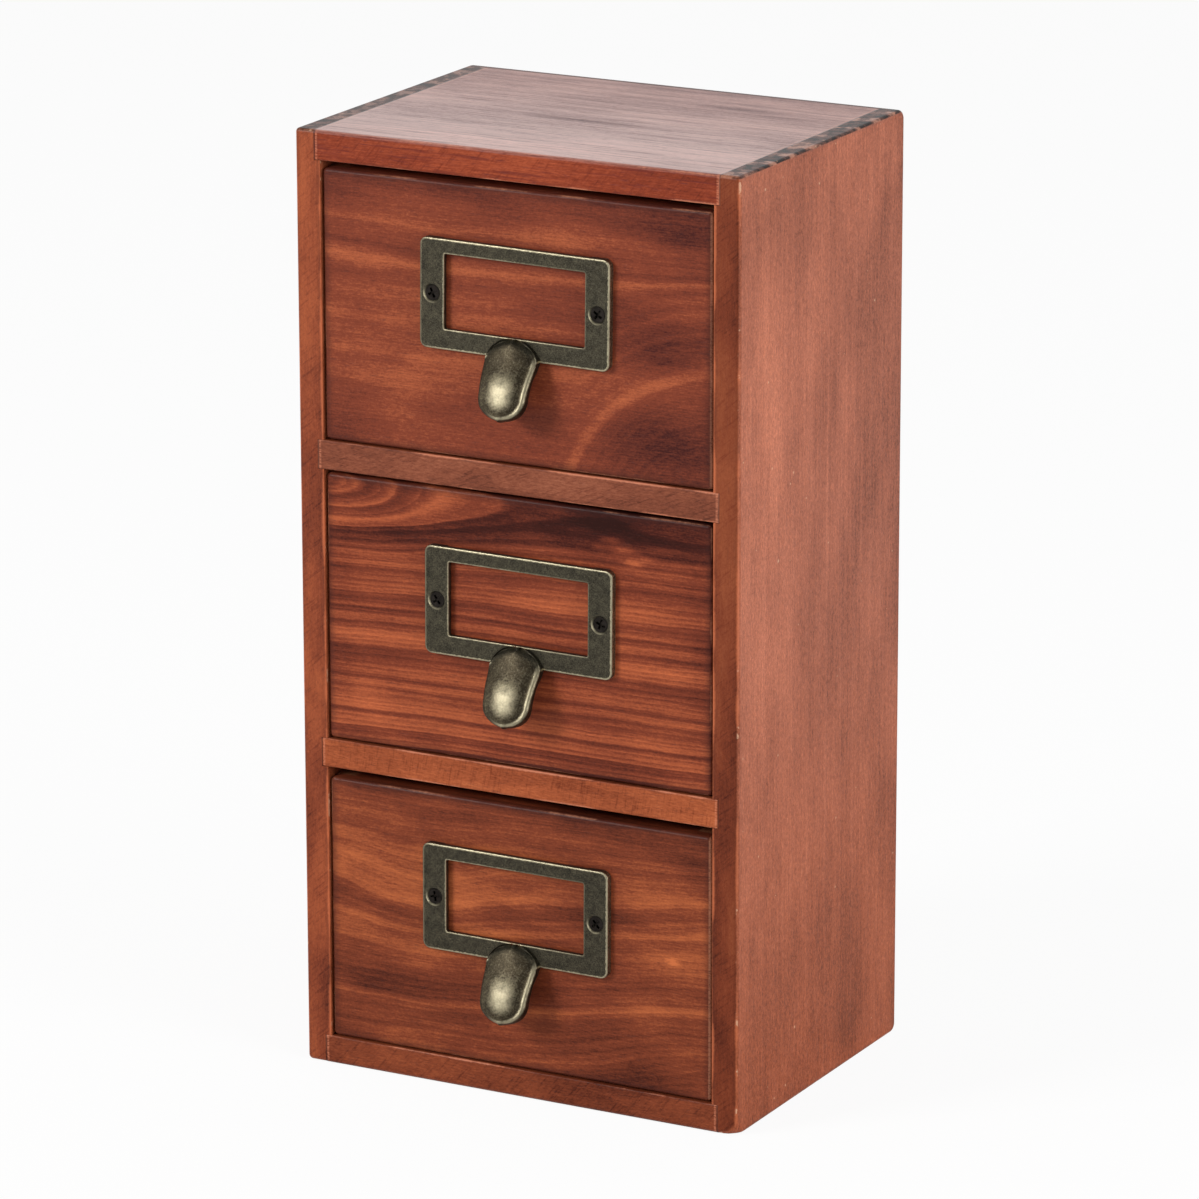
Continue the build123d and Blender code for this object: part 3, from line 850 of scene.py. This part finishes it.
# darker stain towards the edges, and pale lines along edges and ends: rubbed wear, and painted highlight on
# the rounded edges
def edgeWear(b, colour):
    w, v = b.w, b.v
    shade = w.math("POWER", w.fall(b.near["Edge"], 0.0, v.edgeWidth), 1.5)
    colour = w.mix(w.times(shade, v.edgeDark), colour, v.edge)
    # pale lines on the rounded edges: rubbed wear and painted highlight
    colour = w.mix(w.times(w.fall(b.near["Near"], 0.1, v.wornWidth), v.wornLight), colour, v.worn)
    # the right end of the front painted pale: rubbed wear and painted highlight
    if v.paleEnd:
        atEnd = w.span(b.x, b.high.x - 1.1, b.high.x - 0.6)
        paleMask = w.times(atEnd, w.span(b.fine["Grit"], 0.3, 0.6, 0.3, 1.0))
        colour = w.mix(w.times(paleMask, v.paleEnd), colour, v.worn)
    if v.runOver:
        reached = w.span(w.timesPlus(b.fine["Fibre"], -9.0, b.y), *v.runReach, 0.8, 0.0)
        colour = w.mix(reached, colour, v.runOver)
    if v.joints:
        fromEnd = w.minus(b.high.x, w.size(b.x))
        paleMask = w.times(w.stripe(fromEnd, 0.9, 0.15, 0.5, 0.6), w.span(b.fine["Grit"], 0.35, 0.6))
        colour = w.mix(paleMask, colour, v.worn)
        colour = w.mix(w.span(fromEnd, 0.2, 0.5, 0.8, 0.0), colour, v.edge)
    return colour


# the upper end of an upright board: pores that took up the stain in rows, with pale saw marks between
def endGrainOver(b, colour, gloss):
    w, v = b.w, b.v
    onEnd = w.span(b.z, b.high.z - 0.9, b.high.z - 0.5)
    fromBack = w.timesPlus(w.size(b.x), v.endSlant, w.minus(b.high.y - v.endBack, b.y))
    fromBack = w.timesPlus(w.noise(b.board, scale=0.4, detail=3), 6.0, fromBack)
    dabs = w.span(w.noise(b.board, scale=0.33, detail=2, seed=6.0), 0.42, 0.58, 0.24, -0.2)
    pores = w.sway(w.plus(w.read(fromBack, v.endGrain), dabs), b.fine["Speck"], 0.7, clamp=True)
    colour = w.mix(onEnd, colour, w.ramp(pores, v.endColours))
    return colour, w.times(gloss, w.span(onEnd, 0.0, 1.0, 1.0, w.span(pores, 0.2, 1.0, 0.02, 0.8)))


# small pale dents, and chips along the edges; faces turned to the front have none
def scuffed(b, colour):
    w, v = b.w, b.v
    dots = w.node("TexVoronoi", {"Vector": b.board, "Scale": 0.16, "Randomness": 1.0}, feature="F1")
    size = w.span(w.noise(b.board, scale=0.09, detail=2, seed=14.0), 0.42, 0.75, 0.02, 0.15)
    dot = w.fall(dots.outputs["Distance"], 0.02, size)
    chip = w.span(w.noise(b.board, scale=0.11, detail=4, roughness=0.7, seed=51.0), 0.6, 0.64)
    chip = w.times(chip, w.span(b.near["Edge"], 1.2, 0.4, 0.0, 1.0))
    return w.mix(w.times(w.most(dot, chip), w.timesPlus(b.facing, -v.scuffs, v.scuffs)), colour, v.chip)


def stainedWood(name, low, high, grain="x", figure=None, **changes):
    v = SimpleNamespace(**{**stain, **changes})
    b = readBoard(name, low, high, grain, figure, v)
    w, fine = b.w, b.fine
    tone = woodTone(b)
    spread = w.timesPlus(tone, 0.7, 0.22)
    colour = toneRamp(w, spread, v.dark, v.mid, v.light)
    if v.front:
        colour = w.mix(b.facing, colour, toneRamp(w, spread, *v.front))
    colour = w.mix(w.times(fine["Fleck"], v.fleckDark), colour, v.dark)
    if v.streaks:
        streak = w.noise(b.place, stretch=(0.035, 1.1, 1.1), detail=3, roughness=0.62, seed=41.0)
        streak = w.span(streak, 0.53, 0.66, 0.0, v.streaks)
        colour = w.mix(streak, colour, v.dark)
    colour = edgeWear(b, colour)
    gloss = w.span(b.facing, 0.0, 1.0, v.lacquer, 0.0, smooth=False)
    # painted shade along the top's rounded far edge, with its gloss taken away
    if v.backLine:
        atBack = w.span(b.y, b.high.y - 4.9, b.high.y - 3.9)
        shadeLine = w.times(atBack, w.span(b.z, b.high.z - 2.6, b.high.z - 2.0))
        colour = w.mix(w.times(shadeLine, 0.8), colour, v.edge)
        gloss = w.times(gloss, w.minus(1.0, shadeLine))
    axis, *fade = v.lacquerFade
    gloss = w.times(gloss, w.span(getattr(b, axis), *fade))
    gloss = w.times(gloss, w.span(tone, -0.3, 0.6, 0.15, 1.05), clamp=True)
    gloss = w.times(gloss, w.timesPlus(fine["Fleck"], -0.8 * v.fleckDark, 1.0))
    if v.streaks:
        gloss = w.times(gloss, w.timesPlus(streak, -0.55, 1.0))
    if v.endGrain:
        colour, gloss = endGrainOver(b, colour, gloss)
    if v.scuffs:
        colour = scuffed(b, colour)
    height = w.timesPlus(fine["Fleck"], -0.8, w.timesPlus(b.ring["Ring"], 0.35, fine["Fibre"]))
    w.feed(b.shader, {
        "Base Color": colour,
        "Roughness": w.timesPlus(fine["Fibre"], 0.16, v.roughness - 0.08),
        "Normal": w.bump(height, 0.08 * mm, v.bump),
        "Coat Weight": gloss if v.lacquer else 0.0,
        "Coat Roughness": 0.28,
        "Specular IOR Level": v.specular,
    })
    return b.material


# Drawer fronts: each is a different board, so each has its own figure. Places are in mm as seen from
# the front, x from the cabinet's left side and y down from its top.


def fromLeftTop(spots):
    return [(x - cabinetWide / 2, cabinetHigh - y, rx, ry, tone) for x, y, rx, ry, tone in spots]


def downAndAcross(w, board):
    x, y, z = w.split(board)
    depth = w.times(w.minus(y, frontFace), 0.5)
    return w.plus(x, cabinetWide / 2), w.timesPlus(z, -1.0, cabinetHigh), depth


topFront = dict(
    bands=[(10, 0.35), (21, 0.5), (25, 0.78), (29, 0.6), (33, 0.42), (36.5, 0.8), (38.5, 0.5), (42, 0.4),
           (50, 0.45), (55, 0.68), (60, 0.5), (66, 0.6), (69, 0.48), (80, 0.5), (86.5, 0.6), (89, 0.86),
           (91, 0.88), (95, 0.42), (102, 0.32), (120, 0.3)],
    heart=(147.0, 120.0),  # the rings at the lower right close round this place
    heartLevel=209.5,
    heartPitch=2.0,  # how much closer than elsewhere the rings lie there
    lastStraight=83.0, heartBlend=7.0, light=toned(184, 100, 62), mid=toned(123, 58, 38), fibrePull=0.6,
    gritPull=0.6, lacquer=0.3, paleEnd=0.35, gap=7.0, bandPull=0.62, ringPull=0.06, finePull=0.03,
    broadPull=0.12, patchPull=0.25,
    spots=fromLeftTop([
        (136, 19, 17, 12, -0.4), (124, 54, 20, 9, -0.3), (122, 84, 20, 9, -0.28), (14, 20, 6, 8, -0.1),
        (70, 15, 50, 3, -0.2), (47, 48, 4, 4, 0.25), (34, 74, 26, 12, 0.12), (14, 92, 9, 6, -0.1),
    ]),
)


def topFigure(w, board):
    x, y, depth = downAndAcross(w, board)
    away = w.far(w.minus(x, topFront["heart"][0]), w.minus(y, topFront["heart"][1]))
    closed = w.timesPlus(away, -topFront["heartPitch"], topFront["heartLevel"])
    straight = w.least(y, topFront["lastStraight"])
    return w.plus(w.math("SMOOTH_MAX", straight, closed, topFront["heartBlend"]), depth)


middleFront = dict(
    bands=[(108, 0.3), (113, 0.42), (117.5, 0.55), (119.8, 0.85), (121.2, 0.35), (124, 0.12), (127.5, 0.22),
           (129.6, 0.75), (131.2, 0.4), (134, 0.55), (137, 0.4), (141.5, 0.55), (143, 0.75), (144.5, 0.4),
           (153, 0.5), (155.5, 0.7), (158, 0.5), (170, 0.62), (184, 0.5), (192, 0.3)],
    heart=(8.0, 108.0),  # the flat-cut tongue at the upper left starts here
    reach=15.0, length=42.0, gap=6.2, dark=toned(64, 24, 16), mid=toned(118, 54, 34),
    light=toned(172, 89, 54), ringPull=0.36, finePull=0.2, broadPull=0.25, fibrePull=0.6, gritPull=0.6,
    wander=1.6, lacquer=0.15,
    spots=fromLeftTop([
        (106, 110, 30, 7, -0.25), (107, 114.5, 3.5, 1.1, 0.45), (111, 117.5, 4.5, 1.2, 0.6),
        (114.5, 121, 3, 1, 0.5), (103, 117.5, 2.5, 0.9, 0.35), (119, 119, 3, 0.8, 0.3),
        (96, 113, 6, 0.9, 0.25), (127, 115.5, 7, 0.9, 0.25), (24, 176, 8, 7, 0.2), (122, 122, 20, 4, 0.1),
        (75, 178, 60, 8, 0.1), (14, 150, 5, 30, -0.1), (137, 150, 5, 34, -0.12),
    ]),
)


def middleFigure(w, board):
    x, y, depth = downAndAcross(w, board)
    startX, startY = middleFront["heart"]
    along = w.math("DIVIDE", w.minus(x, startX), middleFront["length"])
    along = w.times(w.math("TANH", along), middleFront["reach"])
    return w.plus(w.plus(w.far(along, w.minus(y, startY)), startY), depth)


bottomFront = dict(
    bands=[(200, 0.25), (206, 0.42), (213, 0.45), (217, 0.62), (221, 0.42), (226, 0.6), (231, 0.78),
           (234, 0.5), (236.5, 0.25), (239, 0.42), (243, 0.75), (247, 0.6), (252, 0.66), (257, 0.45),
           (266, 0.42), (270.5, 0.82), (273.5, 0.55), (280, 0.4), (290, 0.3)],
    # across from the middle, up, reach across, reach up, and how far up the rings are pushed there
    bends=[(75, 21, 50, 35, 14), (-33, 61, 24, 25, -6), (75, 70, 40, 25, 6)], gap=6.5, tone=0.5,
    dark=toned(62, 25, 16), mid=toned(120, 57, 35), light=toned(176, 95, 55), bandPull=0.56, ringPull=0.12,
    broadPull=0.2, fibrePull=0.65, gritPull=0.6, patchPull=0.4, wander=3.0, lacquer=0.15, paleEnd=0.6,
    spots=fromLeftTop([
        (75, 203, 80, 3, -0.25), (18, 268, 14, 14, -0.15), (128, 244, 2.2, 1.4, 0.5), (100, 278, 30, 8, -0.1),
        (14, 284, 12, 6, -0.2), (30, 228, 16, 8, 0.12), (122, 262, 18, 5, 0.12), (136, 212, 8, 10, -0.15),
    ]),
)


def bottomFigure(w, board):
    x, y, depth = downAndAcross(w, board)
    level = w.plus(y, depth)
    for across, up, reachAcross, reachUp, pull in bottomFront["bends"]:
        bend = w.use(spot, place=board, across=across, height=up, reachAcross=reachAcross, reachUp=reachUp)
        level = w.timesPlus(bend["Spot"], pull, level)
    return level


# Boards are modelled as they were made: sawn to size, edges rounded, then housings, rabbets and holes cut

joinery = dict(
    sideInner=66.5, halfDeep=55.0, boardThick=9.2,
    boardBottoms={"bottom": 0.0, "lower": 96.6, "upper": 191.1, "top": 286.8},
    housing=2.0, backLap=4.0,
    over=1.0,  # how far a cutter stands out of the wood
    pinHole=0.65, pinDeep=12.0, sidePins=(51.5, 148.1, 242.6), boardPins=40.0,
    # y and z side of each corner of a side panel, and its worn radius
    leftCorners=((-1, 0, 1.8), (-1, 1, 1.2), (1, 0, 2.4), (1, 1, 3.0)),
    rightCorners=((-1, 0, 1.8), (-1, 1, 1.2), (1, 0, 2.8), (1, 1, 3.0)), outerEdge=1.2,
    wornCorner=(6.0, 1.2),  # reach and depth of wear at the right side's lower front corner
    wearLines=(1.0, 0.8, 0.6, 0.45, 0.3, 0.18),  # shares of that reach, where the corner is cut into bands
    openingEdge=0.5, endEdge=0.25,
    lowEdge=1.6,  # the bottom board's lower front edge, and the top board's upper one
    highEdge=1.2,
    topBack=3.0,  # and the far edges of these two boards
    bottomBack=2.4,
    frontBottoms={"bottom": 9.5, "middle": 106.1, "top": 200.6}, frontHalf=65.9,
    frontHigh=84.0, frontBack=-45.3, frontCorner=1.5, frontEdge=1.2, boxInner=59.5, lapFace=-50.5,
    boxOuter=67.5,  # where the cutter for the box side's lap ends, clear of the front
    groove=(-48.3, 4.0, 7.1),  # its face, then its lower and upper side from the front's lower edge
    boxPins=(18.0, 66.0), boxPinReach=51.5, screwHole=1.15, screwDeep=6.05,
)


def rod(start, length, radius, axis):
    turns = {"x": (0, pi / 2, 0), "y": (pi / 2, 0, 0)}
    middle = [start[0] + length / 2 * (axis == "x"), start[1] + length / 2 * (axis == "y"), start[2]]
    takeUp()
    bpy.ops.mesh.primitive_cylinder_add(
        vertices=24, radius=radius * mm, depth=abs(length) * mm,
        location=[c * mm for c in middle], rotation=turns[axis],
    )
    return settle(bpy.context.object)


# wears one corner round: cuts lines across it, then presses it in, less and less away from its tip
def wearCorner(piece, corner, inward, reach, depth, shares):
    takeUp(piece)
    bpy.ops.object.mode_set(mode="EDIT")
    for axis in range(3):
        for share in shares:
            place, normal = [0, 0, 0], [0, 0, 0]
            place[axis], normal[axis] = (corner[axis] + inward[axis] * reach * share) * mm, 1
            bpy.ops.mesh.select_all(action="SELECT")
            bpy.ops.mesh.bisect(plane_co=place, plane_no=normal)
    leaveEdit()
    for point in piece.data.vertices:
        away = sum(abs(point.co[k] / mm - corner[k]) for k in range(3))
        if away < reach:
            point.co += Vector(inward) * depth * mm * (1 - away / reach) ** 1.5
    choose(piece, "VERT", lambda point: True)
    bpy.ops.mesh.remove_doubles(threshold=near * mm / 2)
    bpy.ops.mesh.dissolve_degenerate(threshold=near * mm / 2)
    leaveEdit()


def makeSide(name, sign, corners):
    inner, outer, deep, over = sign * j.sideInner, sign * cabinetWide / 2, j.halfDeep, j.over
    panel = plank(name, (inner, -deep, 0), (outer, deep, cabinetHigh))
    for ySide, zSide, radius in corners:
        bevelEdges(panel, edgesAt(y=ySide * deep, z=zSide * cabinetHigh), radius, 7)
    bevelEdges(panel, edgesAt(x=outer), j.outerEdge, 4)
    bevelEdges(panel, edgesAt(x=inner, y=-deep), j.openingEdge, 3)
    out = inner - sign * over
    for place, bottom in j.boardBottoms.items():
        low, top = bottom - over * (place == "bottom"), bottom + j.boardThick + over * (place == "top")
        far = (inner + sign * j.housing, deep + over, top)
        cutAway(panel, plank("housing", (out, -deep - over, low), far))
    lap = j.boardThick - j.backLap
    far = (inner + sign * j.backLap, deep + over, cabinetHigh - lap)
    cutAway(panel, plank("rabbet", (out, deep - j.backLap, lap), far))
    if sign > 0:
        wearCorner(panel, (outer, -deep, 0), (-1, 1, 1), *j.wornCorner, j.wearLines)
    for height in j.sidePins:
        start = (sign * (j.sideInner + j.backLap / 2), deep + over, height)
        cutAway(panel, rod(start, -j.pinDeep - over, j.pinHole, "y"))
    return panel


def makeBoard(name, place):
    bottom, half, deep, over = j.boardBottoms[place], j.sideInner + j.housing, j.halfDeep, j.over
    top, back = bottom + j.boardThick, deep - j.backLap
    outside = place in ("top", "bottom")
    board = plank(name, (-half, -deep, bottom), (half, deep if outside else back, top))
    bevelEdges(board, edgesAt(y=-deep, z=bottom), j.lowEdge if place == "bottom" else j.openingEdge, 4)
    bevelEdges(board, edgesAt(y=-deep, z=top), j.highEdge if place == "top" else j.openingEdge, 4)
    for sign in (-1, 1):
        bevelEdges(board, edgesAt(x=sign * half, y=-deep), j.endEdge, 2)
    if not outside:
        return board
    if place == "top":
        farZ, radius, low, high = top, j.topBack, bottom - over, bottom + j.backLap
    else:
        farZ, radius, low, high = bottom, j.bottomBack, top - j.backLap, top + over
    bevelEdges(board, edgesAt(y=deep, z=farZ), radius, 7)
    cutAway(board, plank("rabbet", (-half - over, back, low), (half + over, deep + over, high)))
    pinZ = bottom + j.backLap / 2 if place == "top" else top - j.backLap / 2
    for x in (-j.boardPins, j.boardPins):
        cutAway(board, rod((x, deep + over, pinZ), -j.pinDeep - over, j.pinHole, "y"))
    return board


def makeFront(name, drawer):
    low, half, back, over = j.frontBottoms[drawer], j.frontHalf, j.frontBack, j.over
    high = low + j.frontHigh
    front = plank(name, (-half, frontFace, low), (half, back, high))
    for x in (-half, half):
        for z in (low, high):
            bevelEdges(front, edgesAt(x=x, z=z), j.frontCorner, 5)
    bevelEdges(front, edgesAt(y=frontFace), j.frontEdge, 4)
    face, grooveLow, grooveHigh = j.groove
    far = (j.boxInner, back + over, low + grooveHigh)
    cutAway(front, plank("groove", (-j.boxInner, face, low + grooveLow), far))
    right, up, tilt = pullPlaces[drawer]
    for sign in (-1, 1):
        inner, outer = sign * j.boxInner, sign * j.boxOuter
        cutAway(front, plank("lap", (inner, j.lapFace, low - over), (outer, back + over, high + over)))
        for height in j.boxPins:
            start = (inner + sign * over, (j.lapFace + back) / 2, low + height)
            cutAway(front, rod(start, sign * (j.boxPinReach - j.boxInner - over), j.pinHole, "x"))
        reach = sign * pullFrame.screw
        start = (right + reach * cos(radians(tilt)), frontFace - over, up - reach * sin(radians(tilt)))
        cutAway(front, rod(start, j.screwDeep + over, j.screwHole, "y"))
    return front


j = SimpleNamespace(**joinery)
for drawer, recipe, figure in (
    ("top", topFront, topFigure), ("middle", middleFront, middleFigure), ("bottom", bottomFront, bottomFigure)
):
    node = f"drawer_{drawer}_front"
    extra = {k: v for k, v in recipe.items() if k in stain}
    material = stainedWood(f"frontWood_{drawer}", *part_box(node), figure=figure, **extra)
    dress(makeFront(f"front_{drawer}", drawer), material, f"drawer_{drawer}", node, slot="reddish_hardwood")
print("drawer fronts made")

# Carcass boards

sideBoards = dict(
    grain="z", dark=toned(106, 50, 27), mid=toned(157, 81, 50), light=toned(198, 114, 80), gap=9.0,
    wander=1.5, ringPull=0.04, finePull=0.06, broadPull=0.08, fibrePull=0.9, gritPull=0.9, speckPull=1.3,
    patchPull=0.28, edgeWidth=2.2, edgeDark=0.3, worn=toned(204, 112, 72), wornWidth=1.1, wornLight=0.6,
    lacquer=0.45, lacquerFade=("z", 0.0, 170.0, 0.15, 1.0), specular=0.12, scuffs=0.7, spotFace="side",
    # places on the outer face: y, z, reach along y, reach along z, tone
    spots=[(-35, 200, 26, 75, 0.22), (45, 200, 22, 90, -0.12), (20, 50, 30, 40, -0.1),
           (-50, 278, 30, 16, -0.12), (-7.5, 215, 0.9, 34, 0.14), (3.5, 195, 0.8, 36, 0.12),
           (16, 220, 0.8, 40, 0.1), (27, 190, 0.9, 44, 0.1), (20, 12, 14, 10, -0.2)],
    ticks=0.25, tickTurn=40, frontCalm=(0.5, 2.4),
)
eachSide = {
    "left": dict(
        tone=0.5,
        endGrain=[(0, 0.3), (7, 0.5), (12, 0.2), (18, 0.55), (24, 0.25), (33, 0.5), (40, 0.15), (52, 0.45),
                  (60, 0.2), (70, 0.5), (80, 0.25), (91, 0.5), (100, 0.2), (110, 0.35)],
        front=(toned(80, 32, 19), toned(129, 61, 36), toned(165, 86, 51)),
        spots=[(10, 150, 30, 90, 0.15), (-30, 60, 20, 50, -0.12), (35, 240, 20, 60, -0.12)],
    ),
    "right": dict(
        endGrain=[(0, 0.7), (5, 0.7), (6, 0.1), (10, 0.15), (11, 0.8), (15, 0.6), (16, 0.1), (20, 0.1),
                  (22, 0.75), (26, 0.6), (27, 0.1), (34, 0.2), (36, 0.7), (38, 0.2), (48, 0.15), (50, 0.65),
                  (52, 0.15), (60, 0.2), (62, 0.8), (70, 0.65), (71, 0.1), (76, 0.15), (78, 0.8), (82, 0.6),
                  (83, 0.05), (90, 0.1), (92, 0.8), (97, 0.1), (102, 0.2), (110, 0.6)],
        front=(toned(71, 25, 10), toned(112, 50, 27), toned(136, 70, 41)),
    ),
}
plainBoards = dict(
    gap=6.0, dark=toned(80, 34, 20), mid=toned(125, 61, 37), light=toned(163, 87, 52), ringPull=0.1,
    broadPull=0.2, gritPull=0.9, edgeWidth=1.2, edgeDark=0.25, worn=toned(196, 122, 92), wornLight=0.8,
    joints=True, ticks=0.25,
)
boardLooks = {
    "top": dict(
        dark=toned(98, 36, 28), mid=toned(155, 93, 77), light=toned(198, 138, 122), backLine=True,
        front=(toned(84, 28, 12), toned(124, 50, 27), toned(158, 74, 43)), spotFace="top",
        spots=[(32, 31, 12, 2.2, -0.35), (48, 25, 14, 1.6, -0.3), (60, 19, 10, 1.5, -0.25),
               (-47, 29, 9, 1.4, -0.25), (0, -6, 14, 1.2, -0.35), (-28, -23, 14, 1.2, -0.3),
               (0, -44, 80, 16, 0.3), (0, 45, 80, 14, -0.15)],
        lacquer=1.0, lacquerFade=("y", -55.0, 55.0, 1.05, 0.5), specular=0.12, streaks=0.7, broadPull=0.4,
        ringPull=0.15, fibrePull=1.3, fleckDark=0.8, gap=8.0,
    ),
    "upper": {"tickTurn": 25, "front": (toned(80, 40, 28), toned(124, 68, 48), toned(160, 98, 72))},
    "lower": {"tickTurn": 80, "front": (toned(108, 48, 26), toned(156, 80, 47), toned(192, 108, 66))},
    "bottom": {"tone": 0.36},
}
boardNodes = {"top": "top_panel", "upper": "shelf_upper", "lower": "shelf_lower", "bottom": "bottom_panel"}
for hand, sign in (("left", -1), ("right", 1)):
    node = f"side_panel_{hand}"
    looks = {**sideBoards, **eachSide[hand]}
    material = stainedWood(f"sideWood_{hand}", *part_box(node), **looks)
    panel = makeSide(f"side_{hand}", sign, joinery[f"{hand}Corners"])
    dress(panel, material, "cabinet", node, slot="reddish_hardwood")
for place, looks in boardLooks.items():
    node = boardNodes[place]
    material = stainedWood(f"boardWood_{place}", *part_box(node), **{**plainBoards, **looks})
    dress(makeBoard(f"board_{place}", place), material, "cabinet", node, slot="reddish_hardwood")
print("carcass boards made")

# Inside: bare wood, thin back board, nails and screws

bareWood = dict(
    dark=toned(158, 110, 74), mid=toned(200, 153, 108), light=toned(224, 184, 139), gap=4.4, wander=3.0,
    patchPull=0.12, broadPull=0.25, fibrePull=0.6, edge=toned(140, 96, 62), edgeWidth=1.0, edgeDark=0.3,
    worn=toned(226, 196, 158), ringPull=0.4, lacquer=0.0, roughness=0.6, runOver=toned(112, 54, 34),
    levelSlant=0.06,
)
thinBoard = dict(
    bareWood,
    runOver=None, dark=toned(150, 104, 70), mid=toned(196, 149, 107), light=toned(217, 175, 133), gap=7.5,
    wander=6.0, ringPull=0.5, broadPull=0.35, fibrePull=0.7,
    archBend=0.011,  # the veneer's ring level is this times x squared, plus the pitch times z
    archPitch=0.13,
)


# long nested arches, as a veneer shows them
def veneerFigure(w, board):
    x, y, z = w.split(board)
    return w.timesPlus(z, thinBoard["archPitch"], w.times(w.times(x, x), thinBoard["archBend"]))


# rings that run level along an upright board and slant through its thickness
def boxFigure(w, board):
    x, y, z = w.split(board)
    return w.timesPlus(w.plus(w.size(x), y), bareWood["levelSlant"], z)


def paint(name, material):
    slots = nodes[name].data.materials
    slots.clear()
    slots.append(material)


def darkSteel(name, colour, roughness):
    material, w, shader = startMaterial(name)
    fine = w.noise(w.here(), scale=1800, detail=4, roughness=0.7)
    cloud = w.noise(w.here(), scale=420, detail=3, roughness=0.6, seed=0.4)
    darker, lighter = [c * 0.55 for c in colour], [min(c * 1.5, 1) for c in colour]
    w.feed(shader, {
        "Base Color": w.ramp(cloud, [(0.3, darker), (0.7, lighter)]),
        "Metallic": 1.0,
        "Roughness": w.timesPlus(fine, 0.3, roughness - 0.15),
        "Normal": w.bump(fine, 0.05 * mm, 0.4),
    })
    return material


blackScrew = darkSteel("blackScrew", toned(40, 36, 33), 0.36)
nailSteel = darkSteel("nailSteel", toned(150, 146, 140), 0.42)
for drawer in drawers:
    for part, grain in (("side_left", "y"), ("side_right", "y"), ("back", "x")):
        node = f"drawer_{drawer}_{part}"
        paint(node, stainedWood(node, *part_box(node), grain=grain, figure=boxFigure, **bareWood))
    node = f"drawer_{drawer}_floor"
    paint(node, stainedWood(node, *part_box(node), **thinBoard))
    paint(f"drawer_{drawer}_pull_screws", blackScrew)
    paint(f"drawer_{drawer}_pins", nailSteel)
node = "back_panel"
paint(node, stainedWood(node, *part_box(node), grain="z", figure=veneerFigure, **thinBoard))
paint("back_panel_pins", nailSteel)
print("wood finished")
